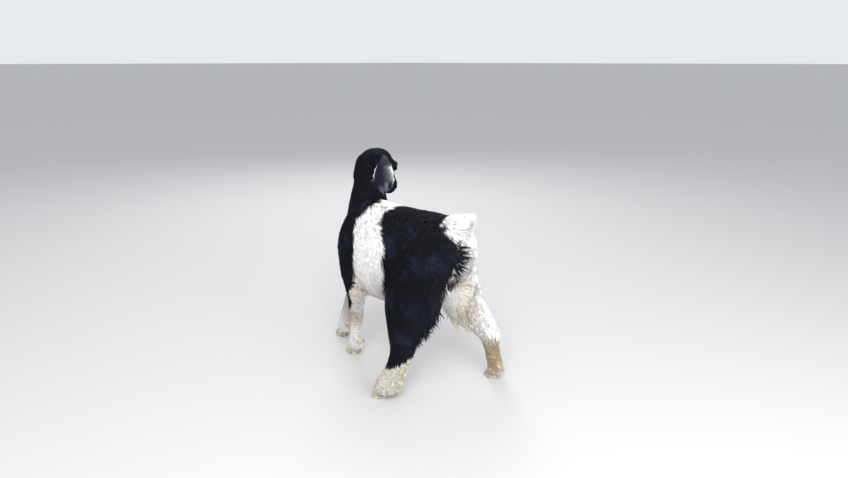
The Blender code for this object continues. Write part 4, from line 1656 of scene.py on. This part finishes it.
LOCKS = (
    # the black breeches that reach over the white rump
    LockGroup("hindleg_left", ((-0.250, 0.046, 0.464), (-0.266, 0.040, 0.442)),
              0.005, 30, 0.030, (-0.45, -0.75, -0.30), BLACK_HAIR, lift=0.26, droop=0.35,
              hairs=7, width=0.0012),
    LockGroup("hindleg_left", ((-0.266, 0.040, 0.440), (-0.272, 0.038, 0.415),
                               (-0.276, 0.038, 0.385)),
              0.007, 62, 0.052, (-0.20, -1.00, -0.08), BLACK_HAIR, lift=0.34, droop=0.22,
              splay=0.34, hairs=9, width=0.0011),
    LockGroup("hindleg_left", ((-0.274, 0.040, 0.392), (-0.268, 0.050, 0.362),
                               (-0.258, 0.054, 0.335)),
              0.008, 56, 0.046, (-0.30, -0.85, -0.60), BLACK_HAIR, lift=0.32, droop=0.60,
              splay=0.36, hairs=9, width=0.0011),
    LockGroup("hindleg_left", ((-0.272, 0.032, 0.352), (-0.262, 0.046, 0.325)),
              0.008, 30, 0.048, (-0.10, -0.40, -0.90), BROWN_HAIR, lift=0.30, droop=0.90,
              hairs=9, width=0.0011),
    LockGroup("hindleg_left", ((-0.270, 0.020, 0.350), (-0.258, 0.044, 0.310)),
              0.014, 50, 0.036, (-0.10, -0.30, -1.00), GREY_HAIR, lift=0.22, droop=0.90),
    LockGroup("trunk", ((-0.276, -0.012, 0.352), (-0.268, 0.010, 0.322)),
              0.012, 40, 0.034, (-0.10, -0.20, -1.00), CREAM_HAIR, lift=0.25, droop=0.90),
    # the shaggy back of the black thigh
    LockGroup("hindleg_left", ((-0.262, 0.060, 0.300), (-0.244, 0.090, 0.245),
                               (-0.222, 0.100, 0.205)),
              0.013, 95, 0.044, (-0.35, -0.10, -0.90), BLACK_HAIR, lift=0.30, droop=0.85),
    LockGroup("hindleg_left", ((-0.218, 0.070, 0.195), (-0.212, 0.112, 0.185)),
              0.010, 50, 0.034, (-0.20, -0.05, -1.00), BLACK_HAIR, lift=0.35, droop=0.90),
    LockGroup("hindleg_left", ((-0.190, 0.070, 0.150), (-0.188, 0.120, 0.140),
                               (-0.135, 0.140, 0.125)),
              0.008, 60, 0.024, (-0.05, 0.05, -1.00), BLACK_HAIR, lift=0.22, droop=0.90),
    # wisps of the saddle over the white shoulder
    LockGroup("trunk", ((-0.008, 0.028, 0.489), (-0.016, 0.056, 0.472), (-0.026, 0.074, 0.452)),
              0.005, 30, 0.028, (0.55, 0.20, -0.80), BLACK_HAIR, lift=0.16, droop=0.55,
              hairs=6, width=0.0011),
    # long pale hair inside, in front of and behind the far thigh
    LockGroup("hindleg_right", ((-0.258, -0.040, 0.330), (-0.240, -0.070, 0.270),
                                (-0.238, -0.085, 0.225)),
              0.014, 70, 0.038, (-0.20, 0.10, -1.00), CREAM_HAIR, lift=0.28, droop=0.85),
    LockGroup("hindleg_right", ((-0.085, -0.085, 0.270), (-0.125, -0.085, 0.225),
                                (-0.180, -0.095, 0.185)),
              0.009, 110, 0.048, (-0.35, 0.15, -0.90), CREAM_HAIR, lift=0.22, droop=0.95),
    LockGroup("hindleg_right", ((-0.150, -0.072, 0.250), (-0.200, -0.085, 0.210),
                                (-0.235, -0.100, 0.170)),
              0.014, 70, 0.036, (-0.30, 0.15, -0.95), CREAM_HAIR, lift=0.20, droop=0.90),
    LockGroup("hindleg_right", ((-0.285, -0.100, 0.178), (-0.296, -0.118, 0.160),
                                (-0.280, -0.150, 0.160)),
              0.009, 60, 0.028, (-0.25, 0.05, -0.95), WHITE_HAIR, lift=0.42, droop=0.70),
    # tail tip and the feathering over the heels
    LockGroup("tail", ((-0.250, -0.010, 0.520), (-0.276, -0.014, 0.524), (-0.282, -0.020, 0.500)),
              0.014, 46, 0.026, (-0.60, 0.05, -0.10), WHITE_HAIR, lift=0.55, droop=0.55,
              splay=0.55, width=0.0012),
    LockGroup("hindleg_left", ((-0.172, 0.108, 0.090), (-0.150, 0.118, 0.055),
                               (-0.140, 0.128, 0.040)),
              0.010, 90, 0.020, (-0.45, -0.10, -0.85), srgb(238, 232, 206), lift=0.42,
              droop=0.75, width=0.0009, hairs=9),
    LockGroup("hindleg_right", ((-0.300, -0.140, 0.070), (-0.300, -0.150, 0.045)),
              0.009, 50, 0.016, (-0.40, 0.0, -0.90), srgb(204, 180, 132), lift=0.32,
              width=0.0009),
    LockGroup("foreleg_left", ((0.122, 0.028, 0.070), (0.128, 0.030, 0.046)),
              0.009, 50, 0.015, (-0.40, 0.0, -0.90), CREAM_HAIR, lift=0.32, width=0.0009),
    LockGroup("foreleg_right", ((0.248, -0.028, 0.070), (0.254, -0.028, 0.046)),
              0.009, 50, 0.015, (-0.40, 0.0, -0.90), CREAM_HAIR, lift=0.32, width=0.0009),
)


class Locks:
    """The long locks, one joined piece for each part of the body that has them."""

    RINGS = 4
    FIRST_SEED = 300
    SEEDS_APART = 17        # between the seeds of two parts
    SINK = 0.001            # how deep a hair's root stands in the skin

    def __init__(self, coat: Coat) -> None:
        """Take over the coat's field and its stance.

        Args:
            coat: the coat that the locks stand in.
        """
        self.coat = coat
        self.field = coat.field
        self.stance = coat.skin.stance

    def build(self) -> None:
        """Grow every group and join those of one part."""
        for number, part in enumerate(dict.fromkeys(group.part for group in LOCKS)):
            first = self.FIRST_SEED + self.SEEDS_APART * number
            made = [self.grow(group, np.random.default_rng(first + k))
                    for k, group in enumerate(LOCKS) if group.part == part]
            lines, roots, normals, widths, colours = (np.concatenate(rows) for rows in zip(*made))
            chart = Coat.unwrap(roots, np.array(Coat.PARTS[part]))
            obj = TuftMesh().build(f"locks_{part}", lines, normals, widths, colours, chart)
            self.coat.dress(obj, colours)
            LOG.info("%s: %d hairs", obj.name, len(lines))

    def grow(self, group: LockGroup, rng: np.random.Generator) -> tuple[np.ndarray, ...]:
        """Grow one group of locks.

        Args:
            group: what the locks are like.
            rng: the random draws.

        Returns:
            The hairs' lines, roots, normals, widths and colours.
        """
        way = np.array([self.stance.place(*point) for point in group.line])
        along = rng.uniform(0, len(way) - 1, group.count)
        stops = np.arange(len(way))
        wanted = np.stack([np.interp(along, stops, way[:, axis]) for axis in range(3)], 1)
        wanted += rng.normal(size=wanted.shape) * group.spread * 0.6
        found = [self.field.tree.find_nearest(Vector(point)) for point in wanted]
        ground = np.array([hit[0] for hit in found])
        trio = self.coat.skin.net.triangles[[hit[2] for hit in found]]
        normals = unit(self.field.normals[trio].mean(1))
        forward, left, up = group.heading
        heading = np.array((left, -forward, up)) + rng.normal(size=ground.shape) * group.splay
        heading = along_surface(heading, normals)
        sway = along_surface(np.cross(heading, normals), normals) * rng.normal(
            size=(group.count, 1)) * 0.45
        length = group.length * rng.uniform(0.6, 1.25, group.count)
        steps = np.linspace(0, 1, self.RINGS + 1)
        guide = [ground]
        for step in steps[1:]:
            bearing = unit(heading + normals * group.lift * (1.5 - step) + sway * step
                           + np.array((0, 0, -1)) * group.droop * step * 1.2)
            guide.append(guide[-1] + bearing * (length / self.RINGS)[:, None])
        guide = np.stack(guide, 1)
        return self.bundle(group, guide, normals, rng)

    def bundle(self, group: LockGroup, guide: np.ndarray, normals: np.ndarray,
               rng: np.random.Generator) -> tuple[np.ndarray, ...]:
        """Set several hairs round each lock's line, drawn together at its tip.

        Args:
            group: what the locks are like.
            guide: each lock's line.
            normals: the direction out of the skin at each lock's root.
            rng: the random draws.

        Returns:
            The hairs' lines, roots, normals, widths and colours.
        """
        count = group.count * group.hairs
        guide = np.repeat(guide, group.hairs, axis=0)
        normals = np.repeat(normals, group.hairs, axis=0)
        offset = rng.normal(size=(count, 3)) * group.bundle * 0.7
        offset -= normals * (offset * normals).sum(-1, keepdims=True)
        share = rng.uniform(0.62, 1.0, count)
        steps = np.linspace(0, 1, self.RINGS + 1)
        reach = share[:, None] * steps[None, :] * self.RINGS
        low = np.minimum(reach.astype(int), self.RINGS - 1)
        rest = (reach - low)[:, :, None]
        rows = np.arange(count)[:, None]
        lines = guide[rows, low] * (1 - rest) + guide[rows, low + 1] * rest
        lines = lines + offset[:, None, :] * (1 - 0.72 * steps)[None, :, None]
        lines[:, 0] -= normals * self.SINK
        widths = group.width * rng.uniform(0.7, 1.25, count)
        tone = rng.uniform(0.75, 1.15, count)[:, None]
        colours = np.tile(group.colour, (count, 1)) * tone
        return lines, lines[:, 0], normals, widths, colours


# ---------------------------------------------------------------- eyes and claws

@dataclass
class Eye:
    """An eyeball with a raised cornea, an amber iris and a level, slotted pupil."""

    socket: EyeSocket
    stance: Stance
    radius: float = 0.0129
    iris: float = 42.0                              # degrees from the gaze
    bulge: float = 0.0010
    pupil_half: tuple[float, float] = (0.36, 0.115) # along and up, as shares of the radius
    amber: Colour = srgb(84, 54, 26)
    rim: Colour = srgb(34, 22, 14)
    white: Colour = srgb(120, 96, 82)
    pupil: Colour = (0.002, 0.002, 0.003)

    def build(self) -> bpy.types.Object:
        """Make and dress the eye.

        Returns:
            The eye's object.
        """
        node = self.socket.node
        side = node.split("_")[1]
        bpy.ops.object.select_all(action="DESELECT")
        bpy.ops.mesh.primitive_uv_sphere_add(segments=64, ring_count=48, radius=self.radius,
                                             location=(0, 0, 0))
        obj = bpy.context.object
        obj.name = "eyeball_" + side
        mesh = obj.data
        self.shape(mesh)
        bm = bmesh.new()
        bm.from_mesh(mesh)
        bmesh.ops.recalc_face_normals(bm, faces=bm.faces)
        bm.to_mesh(mesh)
        bm.free()
        mesh.materials.append(EyeFinish(name="eye_wet_" + side).make())
        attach(obj, BODY)
        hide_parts(node)
        return obj

    def shape(self, mesh: bpy.types.Mesh) -> None:
        """Raise the cornea, paint the eye and set it in its place.

        Args:
            mesh: a ball round the origin.
        """
        out, back, _ = self.socket.axes()
        directions = unit(np.array([vertex.co for vertex in mesh.vertices]))
        # the ball's pole is turned to the gaze, so that the iris has round rows
        turned = directions @ np.stack([back, np.cross(out, back), out], 0)
        facing = np.degrees(np.arccos(np.clip(turned @ out, -1, 1)))
        head = np.array(self.stance.head())[:3, :3]
        upright = np.array((0, 0, 1)) @ head
        upright = unit(upright - out * (upright @ out))
        bulge = self.bulge * ease(self.iris * 1.15, 0.0, facing)
        local = turned * (self.radius + bulge)[:, None]
        low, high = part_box(self.socket.node)
        world = local @ head.T + np.array((low + high) / 2)
        mesh.vertices.foreach_set("co", world.astype(np.float32).ravel())
        mesh.update()
        paint_points(mesh, self.colours(facing, turned @ np.cross(upright, out), turned @ upright))
        shade_smooth(mesh)

    def colours(self, facing: np.ndarray, along: np.ndarray, rise: np.ndarray) -> np.ndarray:
        """Paint the white, the iris and its dark rims, and the pupil.

        Args:
            facing: each point's degrees from the gaze.
            along: its level distance from the gaze, as a share of the radius.
            rise: its upright one.

        Returns:
            Rows of linear light.
        """
        slot = np.maximum(np.abs(along) / self.pupil_half[0], np.abs(rise) / self.pupil_half[1])
        colours = np.tile(self.white, (len(facing), 1))
        for colour, share in (
                (self.rim, ease(self.iris + 3, self.iris - 1, facing)),
                (self.amber, ease(self.iris - 2, self.iris - 7, facing)),
                (self.rim, ease(self.iris - 4, self.iris - 22, facing) * 0.35),
                (self.pupil, ease(1.12, 0.92, slot) * (facing < 60))):
            colours += (np.array(colour) - colours) * share[:, None]
        return colours


@dataclass
class Claws:
    """The claws and dewclaws: worn, rounded horn with flat soles."""

    bevel: float = 0.0016
    dewclaw_bevel: float = 0.00064
    bevel_angle: float = 24.0       # degrees past which an edge is rounded
    smooth_angle: float = 40.0

    def build(self) -> list[bpy.types.Object]:
        """Round every packed claw and dress it in horn.

        Returns:
            The claws' objects.
        """
        finish = HornFinish().make()
        made = []
        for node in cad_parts:
            if Region.of(node) is not Region.CLAW:
                continue
            obj = add_object("horn_" + node, merged_copy(node))
            rounding = obj.modifiers.new("round", "BEVEL")
            rounding.width = self.dewclaw_bevel if "dewclaw" in node else self.bevel
            rounding.segments = 3
            rounding.limit_method = "ANGLE"
            rounding.angle_limit = math.radians(self.bevel_angle)
            bpy.ops.object.modifier_apply(modifier=rounding.name)
            bpy.ops.object.shade_smooth_by_angle(angle=math.radians(self.smooth_angle))
            obj.data.materials.append(finish)
            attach(obj, BODY)
            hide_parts(node)
            made.append(obj)
        return made


# ---------------------------------------------------------------- the studio

@dataclass(frozen=True)
class Lamp:
    """A large soft lamp that shines on the animal's middle."""

    name: str
    place: Place            # forward, left and height
    size: float
    power: float
    colour: Colour


@dataclass
class Studio:
    """Floor, lights and camera."""

    SENSOR = 36.0           # the camera's width in millimetres
    PICTURE = 848           # the picture's width, as that of the focal length

    stance: Stance
    camera_place: Place = (-1.2397, 1.1731, 0.900)      # forward, left, height
    camera_turn: float = 46.6
    camera_dip: float = 16.3
    focal: float = 610 * SENSOR / PICTURE
    floor_size: float = 400.0
    sky: Colour = (0.92, 0.95, 1.0)
    sky_strength: float = 0.86
    aim: Place = (0.0, 0.0, 0.30)
    lamps: tuple = (
        Lamp("key", (-1.7, 1.8, 2.4), 2.0, 100, (1.0, 0.985, 0.96)),
        Lamp("fill", (-2.5, 0.4, 1.0), 1.8, 42, (0.96, 0.98, 1.0)),
        Lamp("rim", (2.2, -1.8, 2.4), 1.6, 45, (1.0, 1.0, 1.0)),
    )

    def build(self) -> None:
        """Set up the whole studio."""
        self.floor()
        self.world()
        for lamp in self.lamps:
            self.light(lamp)
        self.camera()
        bpy.context.scene.view_settings.view_transform = "Standard"

    def floor(self) -> None:
        """Lay the floor."""
        bpy.ops.object.select_all(action="DESELECT")
        bpy.ops.mesh.primitive_plane_add(size=self.floor_size, location=(0, 0, 0))
        floor = bpy.context.object
        floor.name = "studio_floor"
        floor.data.materials.append(FloorFinish().make())

    def world(self) -> None:
        """Give the studio its even, pale light."""
        world = bpy.data.worlds.new("studio")
        world.use_nodes = True
        background = world.node_tree.nodes["Background"]
        background.inputs["Color"].default_value = (*self.sky, 1)
        background.inputs["Strength"].default_value = self.sky_strength
        bpy.context.scene.world = world

    def light(self, lamp: Lamp) -> None:
        """Hang one lamp.

        Args:
            lamp: what it is like.
        """
        data = bpy.data.lights.new(lamp.name, "AREA")
        data.size = lamp.size
        data.energy = lamp.power
        data.color = lamp.colour
        obj = bpy.data.objects.new(lamp.name, data)
        bpy.context.collection.objects.link(obj)
        obj.location = self.stance.place(*lamp.place)
        aim = self.stance.place(*self.aim) - obj.location
        obj.rotation_euler = aim.to_track_quat("-Z", "Y").to_euler()

    def camera(self) -> None:
        """Place the camera behind the animal's left hip."""
        data = bpy.data.cameras.new("camera")
        data.lens = self.focal
        data.clip_start = 0.01
        camera = bpy.data.objects.new("camera", data)
        bpy.context.collection.objects.link(camera)
        camera.location = self.stance.place(*self.camera_place)
        turn, dip = math.radians(self.camera_turn), math.radians(self.camera_dip)
        aim = Vector((-math.sin(turn) * math.cos(dip), -math.cos(turn) * math.cos(dip),
                      -math.sin(dip)))
        camera.rotation_euler = aim.to_track_quat("-Z", "Y").to_euler()
        bpy.context.scene.camera = camera


# ---------------------------------------------------------------- the whole model


def main() -> None:
    """Build every piece in order."""
    logging.basicConfig(level=logging.INFO, format="%(name)s %(relativeCreated)d: %(message)s")
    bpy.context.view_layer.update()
    stance = Stance.standing()
    LOG.info("the feet's middle is at %s", tuple(round(v, 5) for v in stance.shift))
    skin = Skin(stance, Markings(stance))
    skin.build()
    LOG.info("skin: %d triangles", len(skin.net.triangles))
    for socket in skin.sockets:
        eye = Eye(socket, stance).build()
        LOG.info("%s: %d faces", eye.name, len(eye.data.polygons))
    for claw in Claws().build():
        LOG.info("%s: %d faces", claw.name, len(claw.data.polygons))
    coat = Coat(skin)
    coat.build()
    Locks(coat).build()
    Studio(stance).build()


if __name__ == "__main__":
    main()
